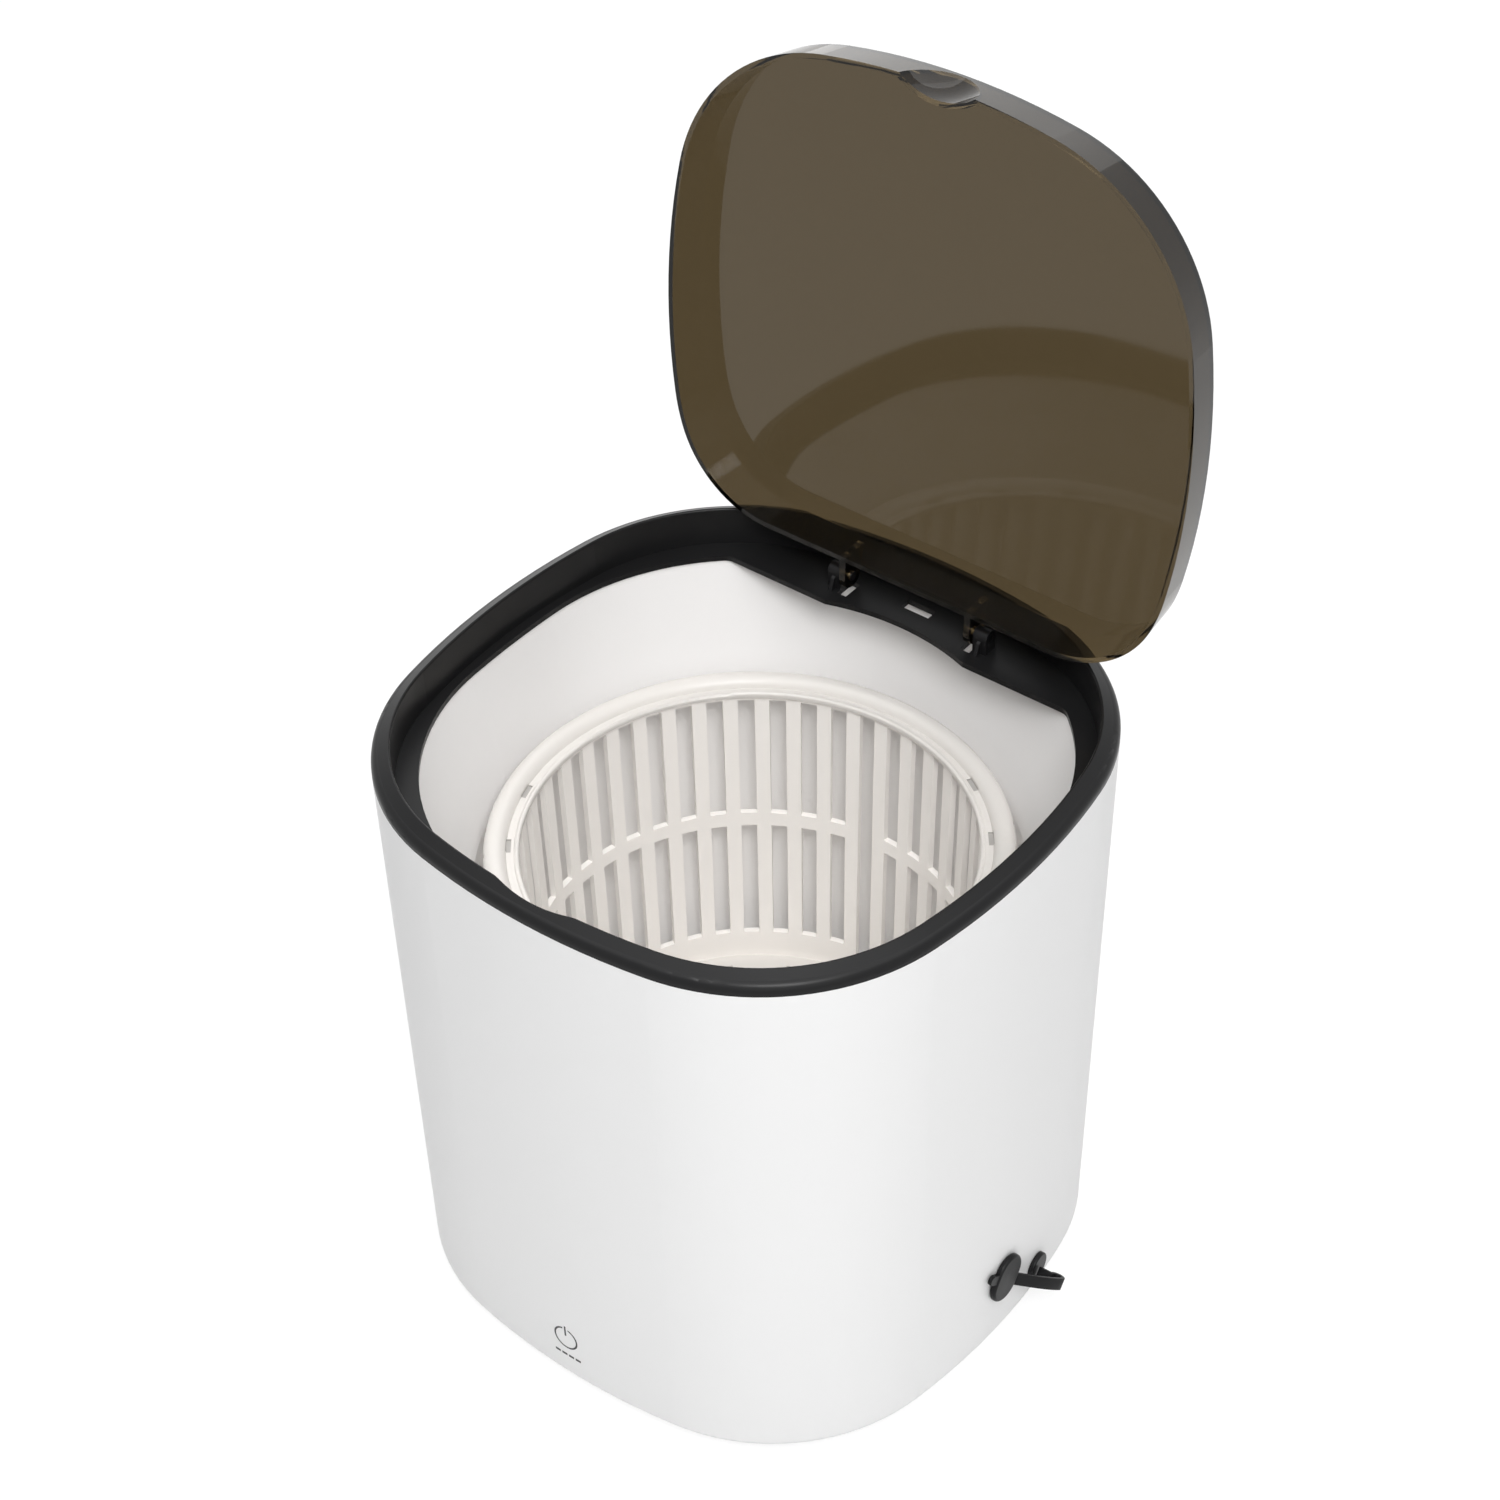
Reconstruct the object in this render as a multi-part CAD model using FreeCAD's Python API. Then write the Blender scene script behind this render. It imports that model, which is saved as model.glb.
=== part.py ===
import FreeCAD, Part
import math
import os

# Portable washing machine with a hinged see-through lid and a lift-out drain basket.
# Millimetres, +Z up. The origin is on the floor under the middle of the body.
# The touch mark faces -Y, the drain is on +X and the lid hinge is at +Y. The lid stands open.

# Body outline in plan, at the seam under the ring
seam_half = 135.0
corner_radius = 93.4
side_radius = 311.0

# Outer shell
body_height = 264.4
side_draft = 5.3
ground_gap = 2.6
shell_wall = 2.5
bottom_round = 4.0
bottom_rim = 1.5
flange_width = 6.0
flange_thick = 2.5

# Base plate, feet and screws under it
base_recess = 0.8
base_thick = 2.6
base_clearance = 0.4
foot_inset = 57.0
foot_radius = 10.0
foot_taper = 1.2
foot_stem_radius = 2.8
foot_stem_rise = 2.2
foot_clearance = 0.2
base_screw_inset = 5.0
base_boss_radius = 4.2
base_boss_height = 9.0
base_screw_radius = 1.5
base_screw_clearance = 0.1
screw_head_radius = 2.9
screw_head_height = 1.4

# Top ring: crown, inner wall, ledge and mouth
ring_outer_round = 4.0
ring_outer_rise = 1.6
ring_shoulder_angle = 106.0
ring_crest_inset = 6.9
ring_crest_rise = 7.8
ring_crest_round = 0.9
ring_wall_draft = 0.7
ring_skirt_inset = 2.9
ledge_drop = 9.5
ledge_thick = 2.5
mouth_inset = 12.7
mouth_corner = 102.7
mouth_side = 460.0
mouth_end_round = 6.0
shelf_reach = 12.5
arch_half = 35.0
arch_depth = 5.9
finger_dip_half = 19.0
finger_dip_depth = 2.6

# Lid hinge
hinge_setback = 25.2
hinge_drop = 2.5
hinge_pin_radius = 2.0
hinge_clearance = 0.08
ear_inner_x = 30.0
ear_thick = 3.0
ear_end_radius = 5.4
ear_root_rise = 1.0
ear_root_height = 13.0
ear_gap = 0.6
lug_width = 6.6
lug_radius = 3.5
lug_rib_thick = 1.6
lug_rib_reach = 3.5
lug_rib_top = 1.0
ear_slot_margin = 0.9
ear_slot_front = 5.8
ear_slot_back = 4.2
drip_slot_half = 7.0
drip_slot_front = 2.7
drip_slot_back = 8.2

# Lid
lid_open_angle = 94.5
lid_edge_drop = 8.9
lid_depth = 18.0
lid_side_gap = 1.0
lid_draft = 2.4
lid_wall = 2.2
lid_plate = 2.5
lid_chord_gap = 10.0
lid_chord_round = 50.0
lid_edge_round = 1.2
scoop_half = 18.0
scoop_depth = 6.3

# Tub
tub_wall = 2.5
tub_setback = 0.8
tub_flange_thick = 2.5
tub_flange_gap = 0.5
tub_shoulder_drop = 70.0
tub_shell_gap = 22.5
tub_taper = 6.5
tub_floor_round = 10.0
tub_floor_z = 52.0
pad_count = 4
pad_width = 9.0
pad_depth = 7.0

# Drain basket
basket_floor_z = 61.0
basket_floor_thick = 2.5
basket_side_gap = 4.9
basket_taper = 4.0
basket_wall_thick = 2.6
basket_wall_top = 209.0
slot_count = 44
basket_bar = 6.2
slot_top = 207.0
slot_bottom = 75.0
mid_band = 7.0
joint_angle = 96.2
floor_ledge = 6.5
raised_height = 5.0
floor_slot_count = 16
floor_slot_width = 7.0
floor_slot_margin = 5.0
floor_slot_angle = 115.5

# Basket rim
rim_flange_width = 10.5
rim_crown_z = 214.4
rim_skin = 2.2
rim_lip_drop = 8.0
rim_shoulder_drop = 3.6
rim_under_drop = 4.0
rim_bead_rise = 2.4
rim_groove_width = 3.0
rim_clearance = 0.3
clip_slot_length = 8.0
clip_slot_width = 2.2
clip_slot_floor = 0.4
clip_axis_angle = 38.0
clip_spread = 20.0
grip_notch_half = 7.5
grip_notch_length = 2.4
grip_notch_depth = 4.0

# Turbine and its drive
pulsator_gap = 22.0
pulsator_lift = 2.0
pulsator_rim_thick = 2.4
pulsator_hub_radius = 16.0
pulsator_hub_height = 8.2
pulsator_hub_edge = 1.0
hub_foot_radius = 25.6
hub_foot_rise = 0.6
hub_waist_radius = 18.4
hub_waist_rise = 1.4
vane_count = 6
vane_thick = 3.0
vane_height = 5.0
vane_end_gap = 2.0
vane_root_overlap = 2.0
shaft_radius = 3.0
running_clearance = 0.04
pulsator_screw_radius = 1.5
pulsator_screw_head = 4.0
pulsator_screw_head_height = 1.6
seal_radius = 9.0
seal_flange_radius = 12.0
seal_flange_thick = 1.6
seal_lip = 1.0
bush_radius = 6.0
bush_length = 8.0
housing_radius = 11.0
housing_flange_radius = 26.0
housing_flange_thick = 3.0
housing_length = 24.0
pulley_radius = 34.0
motor_pulley_radius = 7.0
pulley_width = 8.0
pulley_groove = 2.0
pulley_flank = 0.3
pulley_web = 3.0
pulley_hub_radius = 8.0
pulley_gap = 1.2
pulley_hole_count = 6
nut_across = 10.0
nut_height = 2.6
belt_thick = 1.6
belt_width = 5.0
belt_clearance = 0.3

# Motor
motor_x = -66.0
motor_radius = 17.5
motor_length = 18.0
motor_cap_height = 4.0
motor_cap_inset = 0.8
motor_cap_boss = 1.5
motor_nose_radius = 5.0
motor_nose_length = 2.0
motor_nose_gap = 0.1
motor_shaft_radius = 1.6
motor_shaft_end = 1.0
motor_edge_round = 1.5
bracket_thick = 2.0
bracket_half_x = 28.0
bracket_half_y = 20.0
bracket_corner = 5.0
post_radius = 4.5
post_inset = 5.5
bracket_screw_radius = 1.5
motor_screw_pitch = 11.0
motor_screw_radius = 1.2
motor_screw_head = 1.9

# Drain
drain_y = -0.9
drain_z = 37.8
drain_setback = 51.0
drain_bore = 4.8
drain_pipe_wall = 1.5
drain_proud = 0.5
drain_socket_radius = 9.2
drain_socket_clearance = 0.2
drain_collar_length = 5.0
drain_collar_wall = 1.8
drain_hole_clearance = 0.3
drain_seal_radius = 11.5
drain_seal_thick = 2.0
drain_seal_gap = 0.7
drain_seal_bore_gap = 0.05
drain_stop_inset = 2.0
plug_half_length = 11.0
plug_half_width = 8.6
plug_head = 2.8
plug_lip = 0.4
plug_edge_round = 1.2
plug_stem_length = 12.0
plug_stem_clearance = 0.3
plug_stem_chamfer = 1.0
plug_tab_length = 5.8
plug_tab_half = 2.2
plug_tab_out = 2.2
strap_angle = -35.5
strap_width = 5.3
strap_thick = 1.6
strap_drop = 1.8
strap_reach = 33.6
strap_bulge = 12.0
strap_knee = 0.55
strap_turn = 2.6
strap_end_gap = 0.4
anchor_radius = 6.6
anchor_head = 2.4
anchor_round = 0.8
anchor_stem_radius = 2.6
anchor_stem_length = 6.0
anchor_clearance = 0.2

# Controls and power
mark_z = 27.0
board_length = 52.0
board_height = 30.0
board_thick = 1.6
board_gap = 13.7
board_post_thick = 6.0
board_post_depth = 5.0
board_post_height = 14.0
board_slot_clearance = 0.2
chip_width = 16.0
chip_height = 10.0
chip_thick = 2.0
chip_shift = -4.0
chip_rise = 8.0
capacitor_radius = 3.2
capacitor_length = 9.0
capacitor_rise = 16.0
capacitor_shift = 9.0
capacitor_pitch = 7.0
touch_pad_side = 14.0
touch_pad_gap = 0.3
inlet_z = 27.0
inlet_radius = 5.5
inlet_bore = 2.8
inlet_pin_radius = 1.0
inlet_pin_setback = 1.5
inlet_depth = 10.0
inlet_length = 14.0
inlet_flange_radius = 7.5
inlet_flange_thick = 2.0
inlet_gap = 0.2
inlet_nut_across = 14.0
inlet_nut_thick = 2.5
inlet_nut_gap = 0.05
lead_radius = 1.5
lead_bed = 0.2
lead_bend_share = 0.45
lead_clear = 18.0
lead_rise = 10.0
lead_exit_x = 18.0
lead_exit_z = 16.0

# How far a cutting shape runs past the face it cuts
overrun = 1.0

# Levels and places that follow from the sizes above
seam_z = ground_gap + body_height
base_under = ground_gap + base_recess
base_top = base_under + base_thick
ledge_z = seam_z - ledge_drop
ledge_under = ledge_z - ledge_thick
mouth_half = seam_half - mouth_inset
foot_spacing = seam_half - foot_inset
drain_drop_x = seam_half - drain_setback
hinge_y = seam_half - hinge_setback
shelf_y = hinge_y - shelf_reach
hinge_z = seam_z - hinge_drop
tub_under = tub_floor_z - tub_wall
tub_shoulder_z = seam_z - tub_shoulder_drop
tub_shoulder_radius = seam_half - tub_shell_gap
tub_bottom_radius = tub_shoulder_radius - tub_taper
rim_outer_radius = tub_shoulder_radius - basket_side_gap
basket_top_radius = rim_outer_radius - rim_flange_width - basket_wall_thick
basket_bottom_radius = basket_top_radius - basket_taper
raised_radius = basket_bottom_radius - floor_ledge
floor_slot_outer = raised_radius - floor_slot_margin
floor_slot_inner = raised_radius / 2
pulsator_radius = raised_radius - pulsator_gap
rim_inset = side_draft + bottom_round + bottom_rim
ring_wall_inset = ring_crest_inset + ring_crest_round + ring_wall_draft
lid_inset = ring_wall_inset + lid_side_gap
lid_chord_y = hinge_y - lid_chord_gap
lid_low = seam_z - lid_edge_drop
basket_under = basket_floor_z - basket_floor_thick
pulsator_under = tub_floor_z + pulsator_lift
pulsator_top = pulsator_under + pulsator_hub_height
housing_top = tub_under
housing_bottom = housing_top - housing_flange_thick - housing_length
pulley_top = housing_bottom - pulley_gap
pulley_bottom = pulley_top - pulley_width
bracket_under = pulley_top + pulley_gap
bracket_top = bracket_under + bracket_thick
motor_top = bracket_top + motor_length


def vec(x, y, z=0.0):
    return FreeCAD.Vector(x, y, z)


UP = vec(0, 0, 1)
ORIGIN = vec(0, 0, 0)


def polar(radius, degrees, z=0.0):
    angle = math.radians(degrees)
    return vec(radius * math.cos(angle), radius * math.sin(angle), z)


def joined(shapes):
    return shapes[0].multiFuse(shapes[1:]).removeSplitter()


def box(x0, x1, y0, y1, z0, z1):
    return Part.makeBox(x1 - x0, y1 - y0, z1 - z0, vec(x0, y0, z0))


def rod(radius, start, end):
    along = end - start
    return Part.makeCylinder(radius, along.Length, start, along)


def around(shape, degrees):
    copy = shape.copy()
    copy.rotate(ORIGIN, UP, degrees)
    return copy


def ring_of(shape, count, first=0.0):
    return [around(shape, first + 360.0 * k / count) for k in range(count)]


# Plan of the body: a square with bowed sides and round corners


def plan_arcs(half, corner, side):
    """Centre, radius and end angles of the four side arcs and four corner arcs."""
    shift = half - side
    root = math.sqrt(4 * shift**2 - 8 * (shift**2 - (side - corner) ** 2))
    centre = (2 * shift + root) / 4
    joint = math.degrees(math.atan2(centre, centre - shift))
    arcs = []
    for turn in (0, 90, 180, 270):
        arcs.append((polar(shift, turn), side, turn - joint, turn + joint))
        corner_centre = polar(centre * math.sqrt(2), turn + 45)
        arcs.append((corner_centre, corner, turn + joint, turn + 90 - joint))
    return arcs


def arc_edge(centre, radius, start, end, z):
    points = [centre + polar(radius, a, z) for a in (start, (start + end) / 2, end)]
    return Part.Arc(*points).toShape()


def plan_wire(half, corner, side, z):
    return Part.Wire([arc_edge(*arc, z) for arc in plan_arcs(half, corner, side)])


def plan_prism(half, corner, side, z0, z1):
    return Part.Face(plan_wire(half, corner, side, z0)).extrude(UP * (z1 - z0))


def body_wire(inset, z):
    return plan_wire(seam_half - inset, corner_radius - inset, side_radius - inset, z)


def body_prism(inset, z0, z1):
    return Part.Face(body_wire(inset, z0)).extrude(UP * (z1 - z0))


def body_taper(inset0, z0, inset1, z1):
    return Part.makeLoft([body_wire(inset0, z0), body_wire(inset1, z1)], True, True)


def draft_at(z):
    """How far the outside of the shell lies inside the seam outline at a height."""
    return side_draft * (seam_z - z) / body_height


# Sections: a list of points, where a pair of points is an arc through the first to the second


def section_face(section, place):
    here = place(*section[0])
    edges = []
    for step in section[1:] + section[:1]:
        if isinstance(step[0], tuple):
            middle, end = place(*step[0]), place(*step[1])
            edges.append(Part.Arc(here, middle, end).toShape())
        else:
            end = place(*step)
            edges.append(Part.makeLine(here, end))
        here = end
    return Part.Face(Part.Wire(edges))


def swept_round_body(section):
    """Carry a section of insets and heights once round the body outline."""
    pieces = []
    for centre, radius, start, end in plan_arcs(seam_half, corner_radius, side_radius):

        def place(inset, z):
            return centre + polar(radius - inset, start, z)

        pieces.append(section_face(section, place).revolve(centre, UP, end - start))
    return joined(pieces)


def turned(section, centre=ORIGIN):
    """Turn a section of radii and heights about a vertical axis."""

    def place(radius, z):
        return centre + vec(radius, 0, z)

    return section_face(section, place).revolve(centre, UP, 360)


def corner_arc(centre, radius, angle, end):
    """An arc step of a section through the point of a circle at an angle."""
    turn = math.radians(angle)
    return ((centre[0] + radius * math.cos(turn), centre[1] + radius * math.sin(turn)), end)


# Outer shell and base


def shell_outer_x(z):
    return seam_half - draft_at(z)


def base_screw_spots():
    centre, radius, start, end = plan_arcs(seam_half, corner_radius, side_radius)[1]
    reach = centre.Length + radius - rim_inset - base_screw_inset
    return [polar(reach, 45 + 90 * k) for k in range(4)]


def outer_shell():
    foot_z = ground_gap + bottom_round
    edge = draft_at(foot_z)
    lip = edge + bottom_round + bottom_rim
    flange_top = base_top + flange_thick
    section = [
        (0, seam_z),
        (edge, foot_z),
        corner_arc((edge + bottom_round, foot_z), bottom_round, 225, (edge + bottom_round, ground_gap)),
        (lip, ground_gap),
        (lip, base_top),
        (lip + flange_width, base_top),
        (lip + flange_width, flange_top),
        (draft_at(flange_top) + shell_wall, flange_top),
        (shell_wall, seam_z),
    ]
    shell = swept_round_body(section)
    boss_top = flange_top + base_boss_height
    bosses = [rod(base_boss_radius, s + UP * base_top, s + UP * boss_top) for s in base_screw_spots()]
    pilot = base_screw_radius + base_screw_clearance
    cuts = [rod(pilot, s + UP * ground_gap, s + UP * (boss_top + overrun)) for s in base_screw_spots()]
    out = seam_half + shell_wall
    inner = out - side_draft - flange_width
    drain_hole = drain_bore + drain_pipe_wall + drain_hole_clearance
    cuts.append(rod(drain_hole, vec(inner, drain_y, drain_z), vec(out, drain_y, drain_z)))
    spot = anchor_spot()
    anchor_hole = anchor_stem_radius + anchor_clearance
    lean = wall_normal(spot)
    cuts.append(rod(anchor_hole, spot - lean * 2 * shell_wall, spot + lean * shell_wall))
    inlet_hole = inlet_radius + inlet_gap
    cuts.append(rod(inlet_hole, vec(0, inner, inlet_z), vec(0, out, inlet_z)))
    return joined([shell] + bosses).cut(cuts)


def foot_spots():
    return [vec(x, y) for x in (-foot_spacing, foot_spacing) for y in (-foot_spacing, foot_spacing)]


def board_face_y():
    """Front face of the control board, behind the front wall."""
    return -(shell_outer_x(mark_z) - shell_wall - board_gap)


def board_posts():
    y0 = board_face_y() - board_post_depth / 2
    half = board_length / 2
    posts = []
    for side in (-1, 1):
        x = side * half
        edges = sorted((x - side * board_post_thick / 2, x + side * board_post_thick / 2))
        post = box(*edges, y0, y0 + board_post_depth, base_under, base_top + board_post_height)
        posts.append(post)
    slot = box(
        -half - board_slot_clearance,
        half + board_slot_clearance,
        board_face_y() - board_slot_clearance,
        board_face_y() + board_thick + board_slot_clearance,
        base_top,
        base_top + board_height,
    )
    return [post.cut(slot) for post in posts]


def base_plate():
    edge = draft_at(ground_gap + bottom_round) + bottom_round + bottom_rim + base_clearance
    plate = body_prism(edge, base_under, base_top)
    pilot = base_screw_radius + base_screw_clearance
    cuts = [rod(pilot, s + UP * ground_gap, s + UP * (base_top + overrun)) for s in base_screw_spots()]
    stem = foot_stem_radius + foot_clearance
    cuts += [rod(stem, s + UP * ground_gap, s + UP * (base_top + overrun)) for s in foot_spots()]
    return joined([plate] + board_posts()).cut(cuts)


def base_screws():
    screws = []
    for s in base_screw_spots():
        head = rod(screw_head_radius, s + UP * (base_under - screw_head_height), s + UP * base_under)
        shank = rod(base_screw_radius, s + UP * base_under, s + UP * (base_top + base_boss_height))
        screws.append(joined([head, shank]))
    return screws


def rubber_feet():
    feet = []
    for s in foot_spots():
        stem_top = base_top + foot_stem_rise
        section = [
            (0, 0),
            (foot_radius - foot_taper, 0),
            (foot_radius, base_under),
            (foot_stem_radius, base_under),
            (foot_stem_radius, stem_top),
            (0, stem_top),
        ]
        feet.append(turned(section, s))
    return feet


# Top ring


def mouth_cut():
    """The opening of the ledge: the mouth outline, straight along the hinge shelf with an arch."""
    z0, z1 = ledge_under - overrun, ledge_z + overrun
    mouth = plan_prism(mouth_half, mouth_corner, mouth_side, z0, z1)
    arch_radius = (arch_half**2 + arch_depth**2) / (2 * arch_depth)
    arch_centre = vec(0, shelf_y + arch_depth - arch_radius, z0)
    arch = Part.makeCylinder(arch_radius, z1 - z0, arch_centre)
    front = box(-seam_half, seam_half, -seam_half, shelf_y, z0, z1)
    straight = mouth.common(front)
    ends = [e for e in straight.Edges if is_upright(e) and abs(e.Vertexes[0].Y - shelf_y) < 0.01]
    straight = straight.makeFillet(mouth_end_round, ends)
    return joined([straight, mouth.common(arch)])


def is_upright(edge):
    first, last = edge.Vertexes[0].Point, edge.Vertexes[-1].Point
    return abs(first.x - last.x) < 0.01 and abs(first.y - last.y) < 0.01


def ear_sides():
    return ear_inner_x, ear_inner_x + ear_thick


def lug_sides():
    start = ear_inner_x + ear_thick + ear_gap
    return start, start + lug_width


def hinge_lug():
    """Right hinge lug: a round-topped post on the ledge with a rib in front."""
    x0, x1 = lug_sides()
    foot = ledge_under + ledge_thick / 2
    top = rod(lug_radius, vec(x0, hinge_y, hinge_z), vec(x1, hinge_y, hinge_z))
    post = box(x0, x1, hinge_y - lug_radius, hinge_y + lug_radius, foot, hinge_z)
    middle = (x0 + x1) / 2
    front = hinge_y - lug_radius
    corners = [vec(middle - lug_rib_thick / 2, front - lug_rib_reach, foot)]
    corners.append(vec(middle - lug_rib_thick / 2, hinge_y, foot))
    corners.append(vec(middle - lug_rib_thick / 2, hinge_y, hinge_z + lug_radius / 2))
    corners.append(vec(middle - lug_rib_thick / 2, front - lug_rib_top, hinge_z - lug_radius / 2))
    rib = Part.Face(Part.makePolygon(corners + corners[:1])).extrude(vec(lug_rib_thick, 0, 0))
    bore = rod(hinge_pin_radius, vec(x0 - overrun, hinge_y, hinge_z), vec(x1 + overrun, hinge_y, hinge_z))
    return joined([top, post, rib]).cut(bore)


def mirrored(shape):
    return shape.mirror(ORIGIN, vec(1, 0, 0))


def top_ring():
    crest_z = seam_z + ring_crest_rise
    round_z = seam_z + ring_outer_rise
    lean = math.radians(ring_shoulder_angle)
    shoulder = (ring_outer_round * (1 + math.cos(lean)), round_z + ring_outer_round * math.sin(lean))
    crest_in = ring_crest_inset + ring_crest_round
    section = [
        (0, seam_z),
        (0, round_z),
        corner_arc((ring_outer_round, round_z), ring_outer_round, 140, shoulder),
        (ring_crest_inset, crest_z),
        corner_arc((ring_crest_inset, crest_z - ring_crest_round), ring_crest_round, 45,
                   (crest_in, crest_z - ring_crest_round)),
        (ring_wall_inset, ledge_z),
        (ring_wall_inset + seam_half / 3, ledge_z),
        (ring_wall_inset + seam_half / 3, ledge_under),
        (ring_skirt_inset, ledge_under),
        (ring_skirt_inset, seam_z),
    ]
    ring = swept_round_body(section).cut(mouth_cut())
    lug = hinge_lug()
    ring = joined([ring, lug, mirrored(lug)])
    slot0, slot1 = ear_sides()
    z0, z1 = ledge_under - overrun, ledge_z + overrun
    slot = box(slot0 - ear_slot_margin, slot1 + ear_gap,
               hinge_y - ear_slot_front, hinge_y + ear_slot_back, z0, ledge_z)
    drip = box(-drip_slot_half, drip_slot_half,
               hinge_y + drip_slot_front, hinge_y + drip_slot_back, z0, z1)
    dip_radius = (finger_dip_half**2 + finger_dip_depth**2) / (2 * finger_dip_depth)
    dip_y = -(seam_half - crest_in + finger_dip_depth - dip_radius)
    dip = Part.makeCylinder(dip_radius, ring_crest_rise + ledge_drop, vec(0, dip_y, ledge_z))
    return ring.cut([slot, mirrored(slot), drip, dip])


# Lid, drawn closed and then swung open about its pins


def swung_open(shape):
    copy = shape.copy()
    copy.rotate(vec(0, hinge_y, hinge_z), vec(1, 0, 0), -lid_open_angle)
    return copy


def chord_y(z):
    """Outside of the lid's straight hinge wall at a height; it leans in like the other walls."""
    return lid_chord_y - lid_draft * (z - lid_low) / lid_depth


def chord_cut(solid, inset, radius):
    """Cut a body along the straight hinge wall and round the two upright corners."""
    z0, z1 = solid.BoundBox.ZMin - overrun, solid.BoundBox.ZMax + overrun
    corners = [(-seam_half, z0), (chord_y(z0) - inset, z0), (chord_y(z1) - inset, z1), (-seam_half, z1)]
    side = section_face(corners, lambda y, z: vec(-seam_half, y, z))
    cut = solid.common(side.extrude(vec(2 * seam_half, 0, 0)))
    return cut.makeFillet(radius, [e for e in cut.Edges if is_chord_corner(e, inset)])


def is_chord_corner(edge, inset):
    ends = [v.Point for v in edge.Vertexes]
    if len(ends) < 2:
        return False
    on_chord = all(abs(p.y - chord_y(p.z) + inset) < 0.01 for p in ends)
    return on_chord and abs(ends[0].z - ends[1].z) > 1


def hinge_ear():
    """Right ear of the lid: a flat arm from the chord wall to the pin."""
    x0, x1 = ear_sides()
    low = lid_low + ear_root_rise
    high = low + ear_root_height
    roots = [(chord_y(z) - lid_wall / 2, z) for z in (low, high)]
    r = ear_end_radius
    end = [(hinge_y, hinge_z - r), (hinge_y + r, hinge_z), (hinge_y, hinge_z + r)]
    points = [vec(x0, y, z) for y, z in roots[:1] + end + roots[1:]]
    edges = [
        Part.makeLine(points[0], points[1]),
        Part.Arc(*points[1:4]).toShape(),
        Part.makeLine(points[3], points[4]),
        Part.makeLine(points[4], points[0]),
    ]
    arm = Part.Face(Part.Wire(edges)).extrude(vec(ear_thick, 0, 0))
    bore = hinge_pin_radius + hinge_clearance
    return arm.cut(rod(bore, vec(x0 - overrun, hinge_y, hinge_z), vec(x1 + overrun, hinge_y, hinge_z)))


def lid():
    low, high = lid_low, lid_low + lid_depth
    ceiling = high - lid_plate
    inner_draft = lid_draft * (ceiling - low) / lid_depth
    outer = body_taper(lid_inset, low, lid_inset + lid_draft, high)
    outer = chord_cut(outer, 0, lid_chord_round)
    rim = [e for e in outer.Edges if all(abs(v.Z - high) < 0.01 for v in e.Vertexes)]
    outer = outer.makeFillet(lid_edge_round, rim)
    hollow_inset = lid_inset + lid_wall
    hollow = body_taper(hollow_inset, low, hollow_inset + inner_draft, ceiling)
    hollow = chord_cut(hollow, lid_wall, lid_chord_round - lid_wall)
    scoop_radius = (scoop_half**2 + scoop_depth**2) / (2 * scoop_depth)
    scoop_centre = vec(0, -(seam_half - lid_inset + scoop_radius - scoop_depth), low)
    scoop = Part.makeSphere(scoop_radius, scoop_centre)
    scoop_back = Part.makeSphere(scoop_radius + lid_wall, scoop_centre)
    cover = outer.cut(hollow.cut(scoop_back)).cut(scoop)
    ear = hinge_ear()
    return swung_open(joined([cover, ear, mirrored(ear)]))


def hinge_pin(side):
    x0 = ear_inner_x - ear_gap
    x1 = lug_sides()[1]
    return rod(hinge_pin_radius, vec(side * x0, hinge_y, hinge_z), vec(side * x1, hinge_y, hinge_z))


# Tub


def round_wire(radius, z):
    """A circle in eight arcs that end at the same bearings as the mouth outline's arcs."""
    edges = []
    for centre, arc_radius, start, end in plan_arcs(mouth_half, mouth_corner, mouth_side):
        first, last = centre + polar(arc_radius, start), centre + polar(arc_radius, end)
        a0 = math.degrees(math.atan2(first.y, first.x))
        a1 = math.degrees(math.atan2(last.y, last.x))
        if a1 < a0:
            a1 += 360
        edges.append(arc_edge(ORIGIN, radius, a0, a1, z))
    return Part.Wire(edges)


def tub_upper(grow):
    spread = tub_setback + grow
    top = plan_wire(mouth_half + spread, mouth_corner + spread, mouth_side + spread, ledge_under)
    return Part.makeLoft([top, round_wire(tub_shoulder_radius + grow, tub_shoulder_z)], True, True)


def tub_lower(grow):
    radius, floor = tub_floor_round + grow, tub_floor_z - grow
    foot = tub_bottom_radius + grow
    section = [
        (0, tub_shoulder_z),
        (tub_shoulder_radius + grow, tub_shoulder_z),
        (foot, floor + radius),
        corner_arc((foot - radius, floor + radius), radius, -45, (foot - radius, floor)),
        (0, floor),
    ]
    return turned(section)


def basket_pad():
    return box(raised_radius - pad_depth / 2, raised_radius + pad_depth / 2, -pad_width / 2, pad_width / 2,
               tub_under + tub_wall / 2, basket_under)


def post_spots():
    x = bracket_half_x - post_inset
    y = bracket_half_y - post_inset
    return [vec(motor_x + i * x, j * y) for i in (-1, 1) for j in (-1, 1)]


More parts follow.
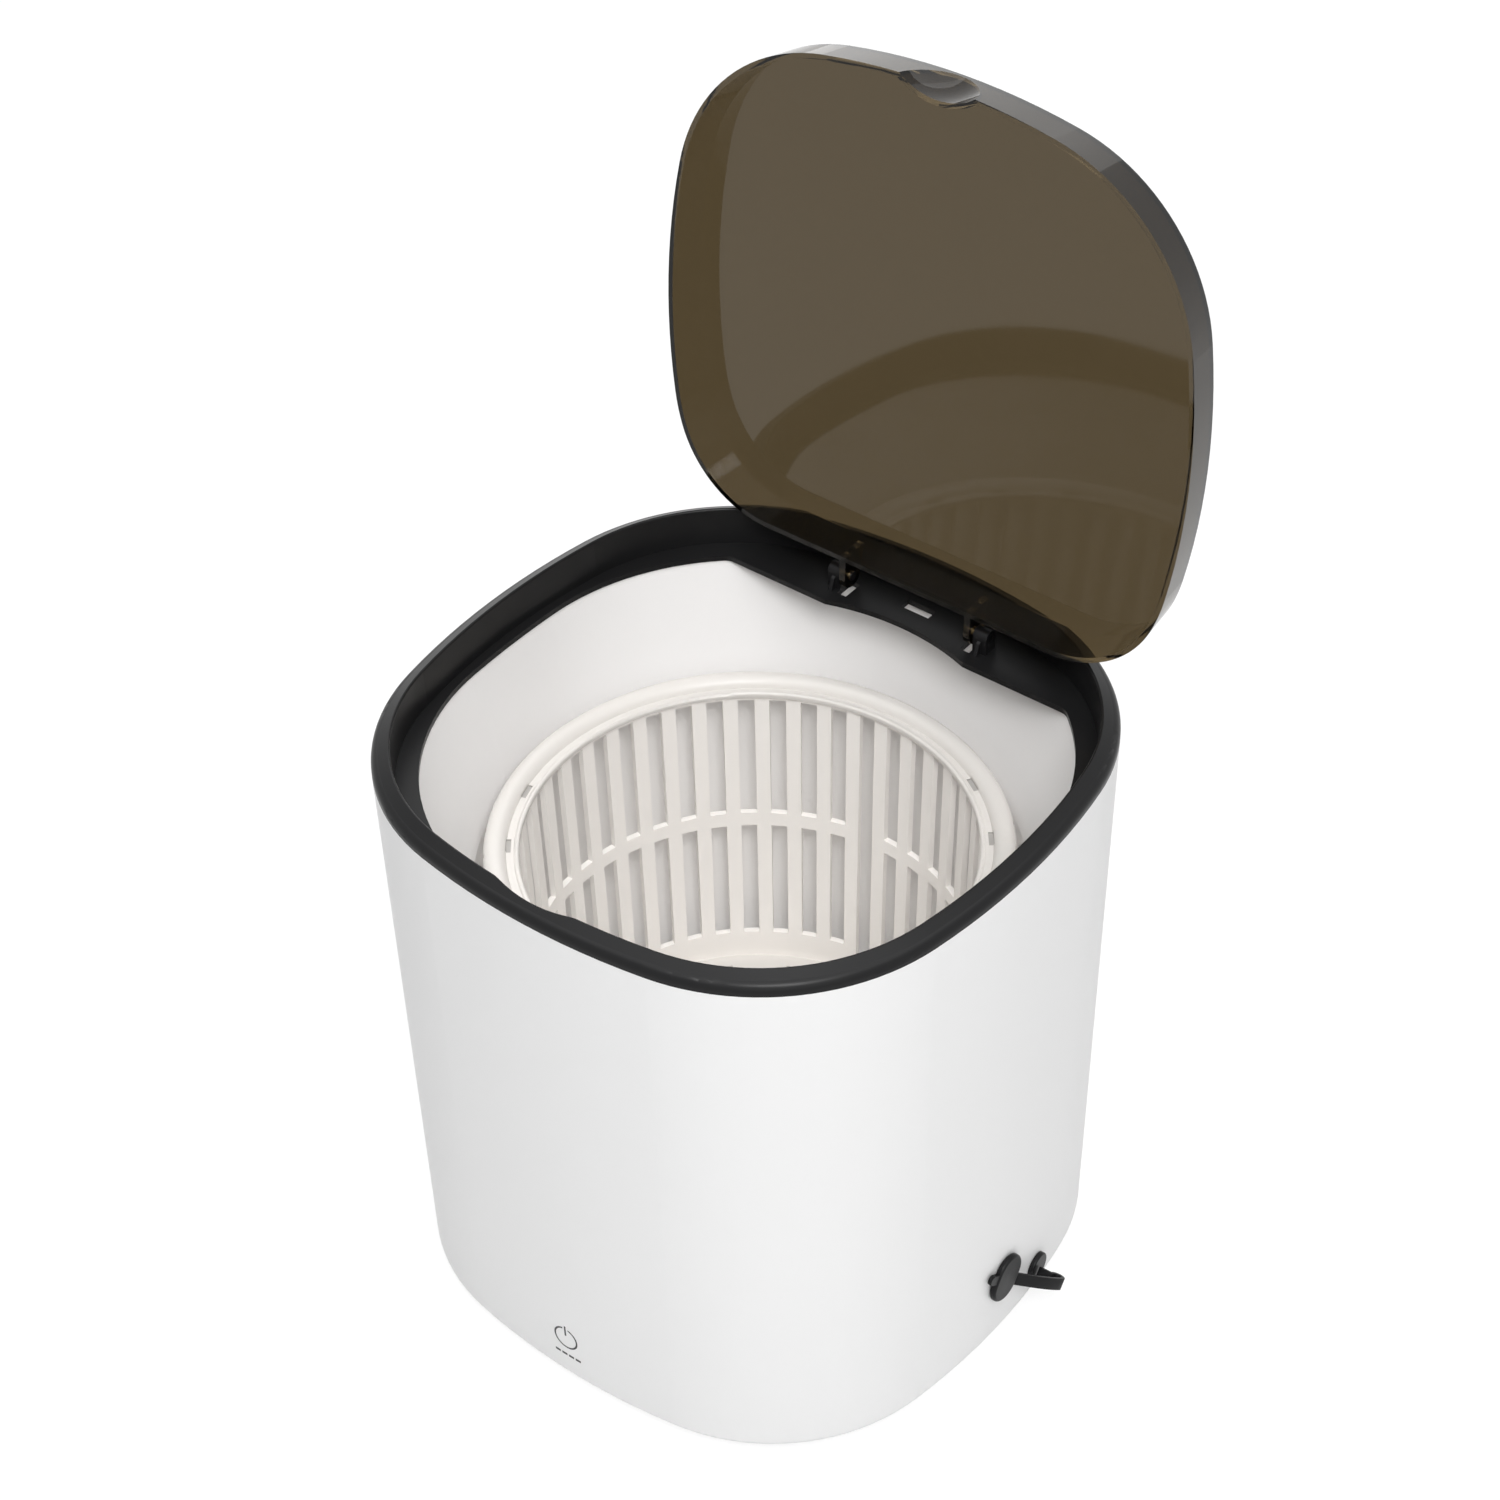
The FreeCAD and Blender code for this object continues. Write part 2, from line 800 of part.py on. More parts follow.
def inner_tub():
    outside = joined([tub_upper(tub_wall), tub_lower(tub_wall)])
    inside = joined([tub_upper(0), tub_lower(0)])
    flange_inset = ring_skirt_inset + tub_flange_gap
    flange = body_prism(flange_inset, ledge_under - tub_flange_thick, ledge_under)
    drop = vec(drain_drop_x, drain_y)
    posts = [rod(post_radius, s + UP * bracket_top, s + UP * tub_floor_z) for s in post_spots()]
    collar_end = tub_under - drain_collar_length
    collar = rod(drain_bore + drain_collar_wall, drop + UP * collar_end, drop + UP * tub_floor_z)
    solid = joined([outside, flange, collar] + posts)
    pads = ring_of(basket_pad(), pad_count, 180.0 / pad_count)
    tub = joined([solid.cut(inside)] + pads)
    cuts = [rod(drain_bore, drop + UP * (collar_end - overrun), drop + UP * (tub_floor_z + overrun))]
    cuts.append(rod(seal_radius, UP * (tub_under - overrun), UP * (tub_floor_z + overrun)))
    pilot = bracket_screw_radius + base_screw_clearance
    cuts += [rod(pilot, s + UP * (bracket_top - overrun), s + UP * tub_under) for s in post_spots()]
    return tub.cut(cuts)


# Drain basket


def basket_radius(z):
    """Inside radius of the slotted wall at a height."""
    share = (z - basket_floor_z) / (basket_wall_top - basket_floor_z)
    return basket_bottom_radius + (basket_top_radius - basket_bottom_radius) * share


def slot_tool(z0, z1):
    width = 2 * math.pi * basket_radius((z0 + z1) / 2) / slot_count - basket_bar
    reach = basket_top_radius + 2 * basket_wall_thick
    return box(basket_bottom_radius - basket_wall_thick, reach, -width / 2, width / 2, z0, z1)


def basket_panel(first):
    """Half of the slotted wall, between two open joints that run its whole height."""
    t = basket_wall_thick
    section = [
        (basket_bottom_radius, basket_floor_z),
        (basket_bottom_radius + t, basket_floor_z),
        (basket_top_radius + t, basket_wall_top),
        (basket_top_radius, basket_wall_top),
    ]
    half = section_face(section, lambda radius, z: vec(radius, 0, z)).revolve(ORIGIN, UP, 180)
    middle = (slot_top + slot_bottom) / 2
    rows = [slot_tool(slot_bottom, middle - mid_band / 2), slot_tool(middle + mid_band / 2, slot_top)]
    joint = slot_tool(basket_floor_z - overrun, basket_wall_top + overrun)
    cuts = [joint, around(joint, 180)]
    for k in range(1, slot_count // 2):
        cuts += [around(row, 360.0 * k / slot_count) for row in rows]
    return around(half.cut(cuts), joint_angle + first)


def basket_floor():
    t = basket_floor_thick
    raised = basket_floor_z + raised_height
    foot = basket_bottom_radius + basket_wall_thick
    section = [
        (0, raised),
        (raised_radius - t, raised),
        (raised_radius, basket_floor_z),
        (foot, basket_floor_z),
        (foot, basket_under),
        (raised_radius - t, basket_under),
        (raised_radius - 2 * t, raised - t),
        (0, raised - t),
    ]
    slot = box(floor_slot_inner, floor_slot_outer, -floor_slot_width / 2, floor_slot_width / 2,
               basket_under, raised + overrun)
    return turned(section).cut(ring_of(slot, floor_slot_count, floor_slot_angle))


def basket_rim():
    """Snap-on rim: inner bead, groove with clip slots, crowned flange turned down outside."""
    inner = basket_top_radius - rim_clearance - rim_skin / 2
    seat = basket_wall_top + rim_clearance
    bead_top = seat + rim_bead_rise
    groove = inner + rim_skin + rim_groove_width
    groove_z = seat + rim_skin / 2
    wall_out = basket_top_radius + basket_wall_thick + rim_clearance
    lip_z = rim_crown_z - rim_lip_drop
    crown_r = (groove + rim_outer_radius) / 2
    shoulder = (rim_outer_radius, rim_crown_z - rim_shoulder_drop)
    under = (rim_outer_radius - rim_skin, rim_crown_z - rim_under_drop)
    section = [
        (inner, seat),
        (inner, bead_top - rim_skin / 2),
        ((inner + rim_skin / 2, bead_top), (inner + rim_skin, bead_top - rim_skin / 2)),
        (groove - rim_groove_width / 2, groove_z),
        (groove, groove_z),
        ((crown_r, rim_crown_z), shoulder),
        (rim_outer_radius, lip_z),
        (rim_outer_radius - rim_skin, lip_z),
        under,
        ((crown_r, rim_crown_z - rim_skin), (wall_out + rim_skin, seat)),
        (wall_out + rim_skin, slot_top),
        (wall_out, slot_top),
        (wall_out, seat),
    ]
    rim = turned(section)
    clip_r = groove - rim_groove_width / 4
    clip = box(clip_r - clip_slot_width / 2, clip_r + clip_slot_width / 2,
               -clip_slot_length / 2, clip_slot_length / 2, seat + clip_slot_floor, rim_crown_z)
    turns = [side + step * clip_spread for side in (0, 180) for step in (-1, 0, 1)]
    cuts = [around(clip, clip_axis_angle + turn) for turn in turns]
    notch = box(rim_outer_radius - grip_notch_depth, rim_outer_radius + overrun,
                -grip_notch_length / 2, grip_notch_length / 2, lip_z - overrun, rim_crown_z - rim_skin)
    spread = math.degrees(grip_notch_half / rim_outer_radius)
    cuts += [around(notch, clip_axis_angle + side + e * spread) for side in (0, 180) for e in (-1, 1)]
    return rim.cut(cuts)


# Turbine and its bearings


def pulsator():
    z0 = pulsator_under
    rim_top = z0 + pulsator_rim_thick
    hub_top = pulsator_top - pulsator_screw_head_height
    dish = turned([
        (shaft_radius, z0),
        (pulsator_radius, z0),
        (pulsator_radius, rim_top),
        (hub_foot_radius, rim_top + hub_foot_rise),
        ((hub_waist_radius, rim_top + hub_waist_rise), (pulsator_hub_radius, hub_top - pulsator_hub_edge)),
        (pulsator_hub_radius - pulsator_hub_edge, hub_top),
        (pulsator_screw_radius, hub_top),
        (pulsator_screw_radius, shaft_top()),
        (shaft_radius, shaft_top()),
    ])
    core = pulsator_hub_radius - vane_root_overlap
    start, end = core - vane_thick / 2, pulsator_radius - vane_end_gap
    middle = (start + end) / 2
    top = rim_top + vane_height
    curve = Part.Arc(vec(start, 0, z0), vec(middle, -vane_thick * 2, z0), vec(end, 0, z0)).toShape()
    wide = curve.translated(vec(0, vane_thick, 0))
    ends = [Part.makeLine(vec(x, 0, z0), vec(x, vane_thick, z0)) for x in (start, end)]
    vane = Part.Face(Part.Wire(Part.sortEdges([curve, wide] + ends)[0])).extrude(UP * (top - z0))
    vane = vane.cut(rod(core, UP * (z0 - overrun), UP * (top + overrun)))
    return joined([dish] + ring_of(vane, vane_count))


def shaft_top():
    return pulsator_under + pulsator_hub_height / 2


def drive_shaft():
    shaft = rod(shaft_radius, UP * (pulley_bottom - nut_height), UP * shaft_top())
    hole = rod(pulsator_screw_radius, UP * (shaft_top() - pulsator_hub_height), UP * (shaft_top() + overrun))
    return shaft.cut(hole)


def pulsator_screw():
    hub_top = pulsator_top - pulsator_screw_head_height
    head = rod(pulsator_screw_head, UP * hub_top, UP * pulsator_top)
    shank = rod(pulsator_screw_radius, UP * (shaft_top() - pulsator_hub_height / 2), UP * pulsator_top)
    return joined([head, shank])


def shaft_seal():
    bore = shaft_radius + running_clearance
    return turned([
        (bore, tub_under),
        (seal_radius, tub_under),
        (seal_radius, tub_floor_z),
        (seal_flange_radius, tub_floor_z),
        (seal_flange_radius - seal_lip, tub_floor_z + seal_flange_thick),
        (bore + seal_lip, tub_floor_z + seal_flange_thick),
        (bore, tub_floor_z),
    ])


def bearing_housing():
    return turned([
        (bush_radius, housing_bottom),
        (housing_radius, housing_bottom),
        (housing_radius, housing_top - housing_flange_thick),
        (housing_flange_radius, housing_top - housing_flange_thick),
        (housing_flange_radius, housing_top),
        (bush_radius, housing_top),
    ])


def bush(z0):
    bore = shaft_radius + running_clearance
    return turned([(bore, z0), (bush_radius, z0), (bush_radius, z0 + bush_length), (bore, z0 + bush_length)])


# Belt drive


def pulley(radius, bore, hub_radius, centre, hole_count):
    z0, z1 = pulley_bottom, pulley_top
    middle = (z0 + z1) / 2
    flank = belt_width / 2 + belt_clearance
    groove = radius - pulley_groove
    rim_in = groove - pulley_web
    section = [
        (bore, z0),
        (hub_radius, z0),
        (hub_radius, middle - pulley_web / 2),
        (rim_in, middle - pulley_web / 2),
        (rim_in, z0),
        (radius, z0),
        (radius, middle - flank - pulley_flank),
        (groove, middle - flank),
        (groove, middle + flank),
        (radius, middle + flank + pulley_flank),
        (radius, z1),
        (rim_in, z1),
        (rim_in, middle + pulley_web / 2),
        (hub_radius, middle + pulley_web / 2),
        (hub_radius, z1),
        (bore, z1),
    ]
    if hole_count == 0:
        section = [(bore, z0)] + section[5:11] + [(bore, z1)]
    wheel = turned(section, centre)
    if hole_count == 0:
        return wheel
    hole_radius = (rim_in - hub_radius) / 3
    hole = rod(hole_radius, vec((rim_in + hub_radius) / 2, 0, z0), vec((rim_in + hub_radius) / 2, 0, z1))
    return wheel.cut(ring_of(hole, hole_count))


def driven_pulley():
    return pulley(pulley_radius, shaft_radius, pulley_hub_radius, ORIGIN, pulley_hole_count)


def motor_pulley():
    return pulley(motor_pulley_radius, motor_shaft_radius, motor_pulley_radius, vec(motor_x, 0), 0)


def hexagon(across, z0, z1):
    corners = [polar(across / math.sqrt(3), 60 * k, z0) for k in range(7)]
    return Part.Face(Part.makePolygon(corners)).extrude(UP * (z1 - z0))


def pulley_nut():
    z1 = pulley_bottom
    return hexagon(nut_across, z1 - nut_height, z1).cut(rod(shaft_radius, UP * (z1 - nut_height), UP * z1))


def belt_loop(extra):
    """Plan of the open belt round both pulleys, its inner face set off by an amount."""
    big = pulley_radius - pulley_groove + belt_clearance + extra
    small = motor_pulley_radius - pulley_groove + belt_clearance + extra
    span = abs(motor_x)
    lean = math.degrees(math.acos((big - small) / span))
    z = (pulley_bottom + pulley_top - belt_width) / 2
    tangents = [180 - lean, 180 + lean]
    far = vec(motor_x, 0)
    starts = [polar(big, a, z) for a in tangents]
    ends = [far + polar(small, a, z) for a in tangents]
    return Part.Wire([
        Part.Arc(starts[0], polar(big, 0, z), starts[1]).toShape(),
        Part.makeLine(starts[1], ends[1]),
        Part.Arc(ends[1], far + polar(small, 180, z), ends[0]).toShape(),
        Part.makeLine(ends[0], starts[0]),
    ])


def drive_belt():
    outer = Part.Face(belt_loop(belt_thick)).extrude(UP * belt_width)
    return outer.cut(Part.Face(belt_loop(0)).extrude(UP * belt_width))


# Motor


def motor_screw_spots():
    return [vec(motor_x, side * motor_screw_pitch) for side in (-1, 1)]


def motor_can():
    centre = vec(motor_x, 0)
    bore = motor_shaft_radius + running_clearance
    r, e = motor_radius, motor_edge_round
    can = turned([
        (bore, bracket_top - motor_nose_length),
        (motor_nose_radius, bracket_top - motor_nose_length),
        (motor_nose_radius, bracket_top),
        (r - e, bracket_top),
        corner_arc((r - e, bracket_top + e), e, -45, (r, bracket_top + e)),
        (r, motor_top),
        (bore, motor_top),
    ], centre)
    depth = motor_length / 2
    return can.cut([rod(motor_screw_radius, s + UP * bracket_top, s + UP * (bracket_top + depth))
                    for s in motor_screw_spots()])


def motor_end_cap():
    r, e = motor_radius - motor_cap_inset, motor_edge_round
    top = motor_top + motor_cap_height
    boss = motor_nose_radius
    return turned([
        (0, motor_top),
        (r, motor_top),
        (r, top - e),
        corner_arc((r - e, top - e), e, 45, (r - e, top)),
        (boss, top),
        (boss, top + motor_cap_boss),
        (0, top + motor_cap_boss),
    ], vec(motor_x, 0))


def motor_shaft():
    start = vec(motor_x, 0, pulley_bottom - motor_shaft_end)
    return rod(motor_shaft_radius, start, vec(motor_x, 0, motor_top - running_clearance))


def motor_bracket():
    plate = box(motor_x - bracket_half_x, motor_x + bracket_half_x, -bracket_half_y, bracket_half_y,
                bracket_under, bracket_top)
    plate = plate.makeFillet(bracket_corner, [e for e in plate.Edges if is_upright(e)])
    nose = motor_nose_radius + motor_nose_gap
    cuts = [rod(nose, vec(motor_x, 0, bracket_under), vec(motor_x, 0, bracket_top))]
    pilot = bracket_screw_radius + base_screw_clearance
    cuts += [rod(pilot, s + UP * bracket_under, s + UP * bracket_top) for s in post_spots()]
    spots = motor_screw_spots()
    cuts += [rod(motor_screw_radius, s + UP * bracket_under, s + UP * bracket_top) for s in spots]
    return plate.cut(cuts)


def screw_set(spots, radius, rise):
    screws = []
    for s in spots:
        head = rod(radius * motor_screw_head, s + UP * (bracket_under - pulley_gap), s + UP * bracket_under)
        shank = rod(radius, s + UP * bracket_under, s + UP * (bracket_top + rise))
        screws.append(joined([head, shank]))
    return screws


# Drain


def strap_frame():
    """Unit vectors along the strap and across its width, in the plane of the right wall."""
    along = vec(0, math.cos(math.radians(strap_angle)), math.sin(math.radians(strap_angle)))
    across = vec(0, -along.z, along.y)
    return along, across


def outlet_x():
    return shell_outer_x(drain_z) + drain_proud


def plug_centre():
    return vec(outlet_x(), drain_y, drain_z)


def anchor_spot():
    """Where the strap's button sits on the outside of the right wall."""
    along, across = strap_frame()
    spot = plug_centre() + along * strap_reach
    bow = spot.y**2 / (2 * side_radius)
    return vec(shell_outer_x(spot.z) - bow, spot.y, spot.z)


def wall_normal(spot):
    """Outward direction of the right wall at a point on it."""
    normal = vec(1, spot.y / side_radius, -side_draft / body_height)
    return normal.normalize()


def drain_elbow():
    drop = vec(drain_drop_x, drain_y)
    pipe = drain_bore + drain_pipe_wall
    inner_end = outlet_x() - drain_proud - shell_wall - drain_seal_thick
    socket = rod(drain_socket_radius, drop + UP * drain_z, drop + UP * tub_under)
    ball = Part.makeSphere(drain_socket_radius, drop + UP * drain_z)
    spout = rod(pipe, drop + UP * drain_z, plug_centre())
    stop = [vec(inner_end - x, drain_y, drain_z) for x in (drain_stop_inset, 0)]
    collar = rod(drain_seal_radius - drain_stop_inset, *stop)
    body = joined([socket, ball, spout, collar])
    joint_radius = drain_bore + drain_collar_wall + drain_socket_clearance
    joint_end = tub_under - drain_collar_length - drain_socket_clearance
    cuts = [rod(joint_radius, drop + UP * joint_end, drop + UP * (tub_under + overrun))]
    cuts.append(rod(drain_bore, drop + UP * drain_z, drop + UP * tub_under))
    cuts.append(rod(drain_bore, drop + UP * drain_z, plug_centre() + vec(overrun, 0, 0)))
    cuts.append(Part.makeSphere(drain_bore, drop + UP * drain_z))
    return body.cut(cuts)


def drain_seal():
    x1 = outlet_x() - drain_proud - shell_wall
    x0 = x1 - drain_seal_thick
    axis = [vec(x, drain_y, drain_z) for x in (x0, x1 - drain_seal_gap)]
    return rod(drain_seal_radius, *axis).cut(rod(drain_bore + drain_pipe_wall + drain_seal_bore_gap, *axis))


def drain_plug():
    """Plug with an oval head, a pull tab on one side, the root of its strap and a stem."""
    half, lobe = plug_half_width, plug_half_length - plug_half_width
    ends = [rod(half, UP * z, UP * z + vec(plug_head, 0, 0)) for z in (-lobe, lobe)]
    head = joined(ends + [box(0, plug_head, -half, half, -lobe, lobe)])
    rim = [e for e in head.Edges if e.BoundBox.XMin > plug_head / 2]
    head = head.makeFillet(plug_edge_round, rim)
    foot = [e for e in head.Edges if e.BoundBox.XMax < plug_lip]
    head = head.makeChamfer(plug_lip, foot)
    stem_radius = drain_bore - plug_stem_clearance
    section = [
        (0, plug_head / 2),
        (stem_radius, plug_head / 2),
        (stem_radius, plug_stem_chamfer - plug_stem_length),
        (stem_radius - plug_stem_chamfer, -plug_stem_length),
        (0, -plug_stem_length),
    ]
    stem = section_face(section, lambda radius, out: vec(out, radius, 0)).revolve(ORIGIN, vec(1, 0, 0), 360)
    tab_end = -(half + plug_tab_length - plug_tab_half)
    tab = rod(plug_tab_half, vec(plug_lip, tab_end, 0), vec(plug_tab_out, tab_end, 0))
    bridge = box(plug_lip, plug_tab_out, tab_end, -half / 2, -plug_tab_half, plug_tab_half)
    root = box(plug_lip, plug_lip + strap_thick, half / 2, strap_start(), *strap_sides())
    return beside_wall(joined([head, stem, tab, bridge, root]))


def strap_start():
    """Distance from the plug's middle at which its root ends and the strap begins."""
    return plug_half_width + strap_thick


def strap_sides():
    """The strap's two edges across its width; it leaves the plug a little below the middle."""
    return -strap_drop - strap_width / 2, -strap_drop + strap_width / 2


def beside_wall(shape):
    """Turn a shape drawn at the origin to the strap's slope and set it on the outlet."""
    copy = shape.copy()
    copy.rotate(ORIGIN, vec(1, 0, 0), strap_angle)
    copy.translate(plug_centre())
    return copy


def plug_strap():
    """Flat strap: out of the plug's edge, bowing away from the wall, and back to its button."""
    half = strap_thick / 2
    root_out = plug_lip + half
    start = strap_start()
    knee = start + (strap_reach + strap_turn - start) * strap_knee
    knee_out = root_out + (strap_bulge - root_out) * strap_knee
    turn_out = strap_bulge - strap_turn
    button_out = anchor_spot().x - plug_centre().x + anchor_head + strap_end_gap

    def face(side):
        radius = strap_turn + side * half
        return [
            (start, root_out + side * half),
            ((knee, knee_out + side * half), (strap_reach, turn_out + radius)),
            ((strap_reach + radius, turn_out), (strap_reach, turn_out - radius)),
        ]

    outer, inner = face(1), face(-1)
    back = [(inner[1][0], inner[0])]
    section = outer + [inner[2][1], (inner[2][0], inner[1][1])] + back
    lower, upper = strap_sides()
    band = section_face(section, lambda along, out: vec(out, along, lower))
    band = band.extrude(UP * strap_width)
    foot = box(button_out, turn_out - strap_turn + half, strap_reach - strap_thick, strap_reach, lower, upper)
    return beside_wall(joined([band, foot]))


def strap_anchor():
    spot = anchor_spot()
    lean = wall_normal(spot)
    head = rod(anchor_radius, spot + lean * anchor_clearance, spot + lean * anchor_head)
    face = max(head.Edges, key=lambda e: e.BoundBox.Center.x)
    head = head.makeFillet(anchor_round, [face])
    stem = rod(anchor_stem_radius, spot - lean * anchor_stem_length, spot + lean * anchor_head / 2)
    return joined([head, stem])


# Controls and power


def control_board():
    half = board_length / 2
    y0 = board_face_y()
    back = y0 + board_thick
    board = box(-half, half, y0, back, base_top, base_top + board_height)
    chip = box(chip_shift - chip_width / 2, chip_shift + chip_width / 2, back, back + chip_thick,
               base_top + chip_rise, base_top + chip_rise + chip_height)
    capacitors = []
    for k in range(2):
        spot = vec(capacitor_shift + k * capacitor_pitch, back, base_top + capacitor_rise)
        capacitors.append(rod(capacitor_radius, spot, spot + vec(0, capacitor_length, 0)))
    return joined([board, chip] + capacitors)


def touch_pad():
    half = touch_pad_side / 2
    y1 = board_face_y()
    y0 = -(shell_outer_x(mark_z - half) - shell_wall - touch_pad_gap)
    return box(-half, half, y0, y1, mark_z - half, mark_z + half)


def power_inlet():
    y = shell_outer_x(inlet_z)
    at = [vec(0, y + d, inlet_z) for d in (-inlet_length, inlet_gap, inlet_gap + inlet_flange_thick)]
    body = rod(inlet_radius, at[0], at[2])
    flange = rod(inlet_flange_radius, at[1], at[2])
    floor = vec(0, at[2].y - inlet_depth, inlet_z)
    socket = joined([body, flange]).cut(rod(inlet_bore, floor, at[2] + vec(0, overrun, 0)))
    pin = rod(inlet_pin_radius, floor - vec(0, overrun, 0), at[2] - vec(0, inlet_pin_setback, 0))
    return joined([socket, pin])


def inlet_nut():
    y = shell_outer_x(inlet_z) - shell_wall - inlet_gap
    nut = hexagon(inlet_nut_across, -inlet_nut_thick, 0)
    nut = nut.cut(rod(inlet_radius + inlet_nut_gap, vec(0, 0, -inlet_nut_thick), ORIGIN))
    nut.rotate(ORIGIN, vec(1, 0, 0), -90)
    nut.translate(vec(0, y, inlet_z))
    return nut


def lead(points):
    """A round lead: straight runs joined by arcs as large as the shorter run allows."""
    edges = []
    here = points[0]
    for before, corner, after in zip(points, points[1:], points[2:]):
        back, ahead = before - corner, after - corner
        trim = lead_bend_share * min(back.Length, ahead.Length)
        back.normalize()
        ahead.normalize()
        start, end = corner + back * trim, corner + ahead * trim
        half_turn = (math.pi - back.getAngle(ahead)) / 2
        radius = trim / math.tan(half_turn)
        bisector = back + ahead
        bisector.normalize()
        middle = corner + bisector * (radius / math.cos(half_turn) - radius)
        edges.append(Part.makeLine(here, start))
        edges.append(Part.Arc(start, middle, end).toShape())
        here = end
    edges.append(Part.makeLine(here, points[-1]))
    path = Part.Wire(edges)
    first = points[1] - points[0]
    disc = Part.Wire([Part.Circle(points[0], first, lead_radius).toShape()])
    return path.makePipeShell([disc], True, False)


def motor_lead():
    bed = base_top + lead_radius + lead_bed
    back = board_face_y() + board_thick
    side = motor_x - motor_radius
    out = side - lead_clear
    high = bracket_top + lead_rise
    return lead([
        vec(-lead_exit_x, back, lead_exit_z),
        vec(-lead_exit_x, back + lead_clear, lead_exit_z),
        vec(-lead_exit_x, back + 2 * lead_clear, bed),
        vec(motor_x, -motor_radius - 2 * lead_clear, bed),
        vec(out, -lead_clear, bed),
        vec(out, 0, high),
        vec(side, 0, high),
    ])


def inlet_lead():
    bed = base_top + lead_radius + lead_bed
    back = board_face_y() + board_thick
    rear = shell_outer_x(inlet_z) - inlet_length
    run = pulley_radius + lead_clear
    return lead([
        vec(0, rear, inlet_z),
        vec(0, rear - lead_clear, inlet_z),
        vec(0, rear - 2 * lead_clear, bed),
        vec(run, run, bed),
        vec(run, -run, bed),
        vec(lead_exit_x, back + 2 * lead_clear, bed),
        vec(lead_exit_x, back + lead_clear, lead_exit_z),
        vec(lead_exit_x, back, lead_exit_z),
    ])


NODES = {
    "outer_shell": outer_shell,
    "base_plate": base_plate,
    "base_screws": base_screws,
    "rubber_feet": rubber_feet,
    "top_ring": top_ring,
    "lid": lid,
    "hinge_pin_left": lambda: hinge_pin(-1),
    "hinge_pin_right": lambda: hinge_pin(1),
    "inner_tub": inner_tub,
    "basket_panel_left": lambda: basket_panel(0),
    "basket_panel_right": lambda: basket_panel(180),
    "basket_floor": basket_floor,
    "basket_rim": basket_rim,
    "pulsator": pulsator,
    "pulsator_screw": pulsator_screw,
    "drive_shaft": drive_shaft,
    "shaft_seal": shaft_seal,
    "bearing_housing": bearing_housing,
    "upper_bush": lambda: bush(housing_top - bush_length),
    "lower_bush": lambda: bush(housing_bottom),
    "driven_pulley": driven_pulley,
    "pulley_nut": pulley_nut,
    "drive_belt": drive_belt,
    "motor_pulley": motor_pulley,
    "motor_shaft": motor_shaft,
    "motor_can": motor_can,
    "motor_end_cap": motor_end_cap,
    "motor_bracket": motor_bracket,
    "motor_screws": lambda: screw_set(motor_screw_spots(), motor_screw_radius, motor_length / 3),
    "bracket_screws": lambda: screw_set(post_spots(), bracket_screw_radius, motor_length / 2),
    "drain_elbow": drain_elbow,
    "drain_seal": drain_seal,
    "drain_plug": drain_plug,
    "plug_strap": plug_strap,
    "strap_anchor": strap_anchor,
    "control_board": control_board,
    "touch_pad": touch_pad,
    "power_inlet": power_inlet,
    "inlet_nut": inlet_nut,
    "motor_lead": motor_lead,
    "inlet_lead": inlet_lead,
}


def main():
    os.makedirs("parts", exist_ok=True)
    for name, make in NODES.items():
        made = make()
        shape = Part.makeCompound(made) if isinstance(made, list) else made
        solids = shape.Solids
        if not solids or not all(s.isValid() for s in solids):
            raise ValueError("bad solid in " + name)
        whole = solids[0] if len(solids) == 1 else Part.makeCompound(solids)
        whole.exportStep("parts/" + name + ".step")
        b = whole.BoundBox
        print(f"{name}: {len(solids)} solids, {whole.Volume:.0f} mm3, z {b.ZMin:.1f} to {b.ZMax:.1f}")


main()
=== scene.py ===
import math

import bpy
from bpy.props import FloatProperty, FloatVectorProperty, PointerProperty
from mathutils import Matrix, Vector


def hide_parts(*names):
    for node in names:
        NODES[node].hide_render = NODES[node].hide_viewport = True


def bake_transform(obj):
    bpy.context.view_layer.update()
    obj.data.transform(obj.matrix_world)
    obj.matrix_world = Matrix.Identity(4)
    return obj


bl_info = {
    "name": "Portable washing machine",
    "version": (1, 0, 0),
    "blender": (4, 5, 0),
    "location": "3D View > Sidebar > Washer",
    "description": "Finishes, printed mark, tether and studio for a portable washing machine",
    "category": "Object",
}

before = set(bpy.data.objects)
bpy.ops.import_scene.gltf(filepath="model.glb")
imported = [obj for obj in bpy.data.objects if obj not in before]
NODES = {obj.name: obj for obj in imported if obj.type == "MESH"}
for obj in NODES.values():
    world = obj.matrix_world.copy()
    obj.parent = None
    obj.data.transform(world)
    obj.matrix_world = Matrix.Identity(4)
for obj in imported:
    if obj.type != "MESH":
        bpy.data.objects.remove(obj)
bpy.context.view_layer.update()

# Kinds of setting
LENGTH = {"subtype": "DISTANCE", "unit": "LENGTH"}
ANGLE = {"subtype": "ANGLE", "unit": "ROTATION"}
POWER = {"subtype": "POWER", "unit": "POWER"}
LENS = {"subtype": "DISTANCE_CAMERA", "unit": "CAMERA"}
SHARE = {"subtype": "FACTOR", "min": 0.0, "max": 1.0}

# Plain colours
BLACK = (0.0, 0.0, 0.0, 1.0)
WHITE = (1.0, 1.0, 1.0, 1.0)
INK = (0.035, 0.035, 0.037, 1.0)

# Finishes, in metres: clip slots in the rim that hold painted shade, the tub below the basket's
# rim made paler as painted light, depth of a moulded skin
SLOT_REACH, SLOT_HALF = 0.09755, 0.0012
SLOT_HEIGHT, SLOT_DEPTH = 0.20995, 0.0008
PAINTED_LIGHT_TOP, PAINTED_LIGHT_FADE = 0.205, 0.02
SKIN_DEPTH = 0.0001

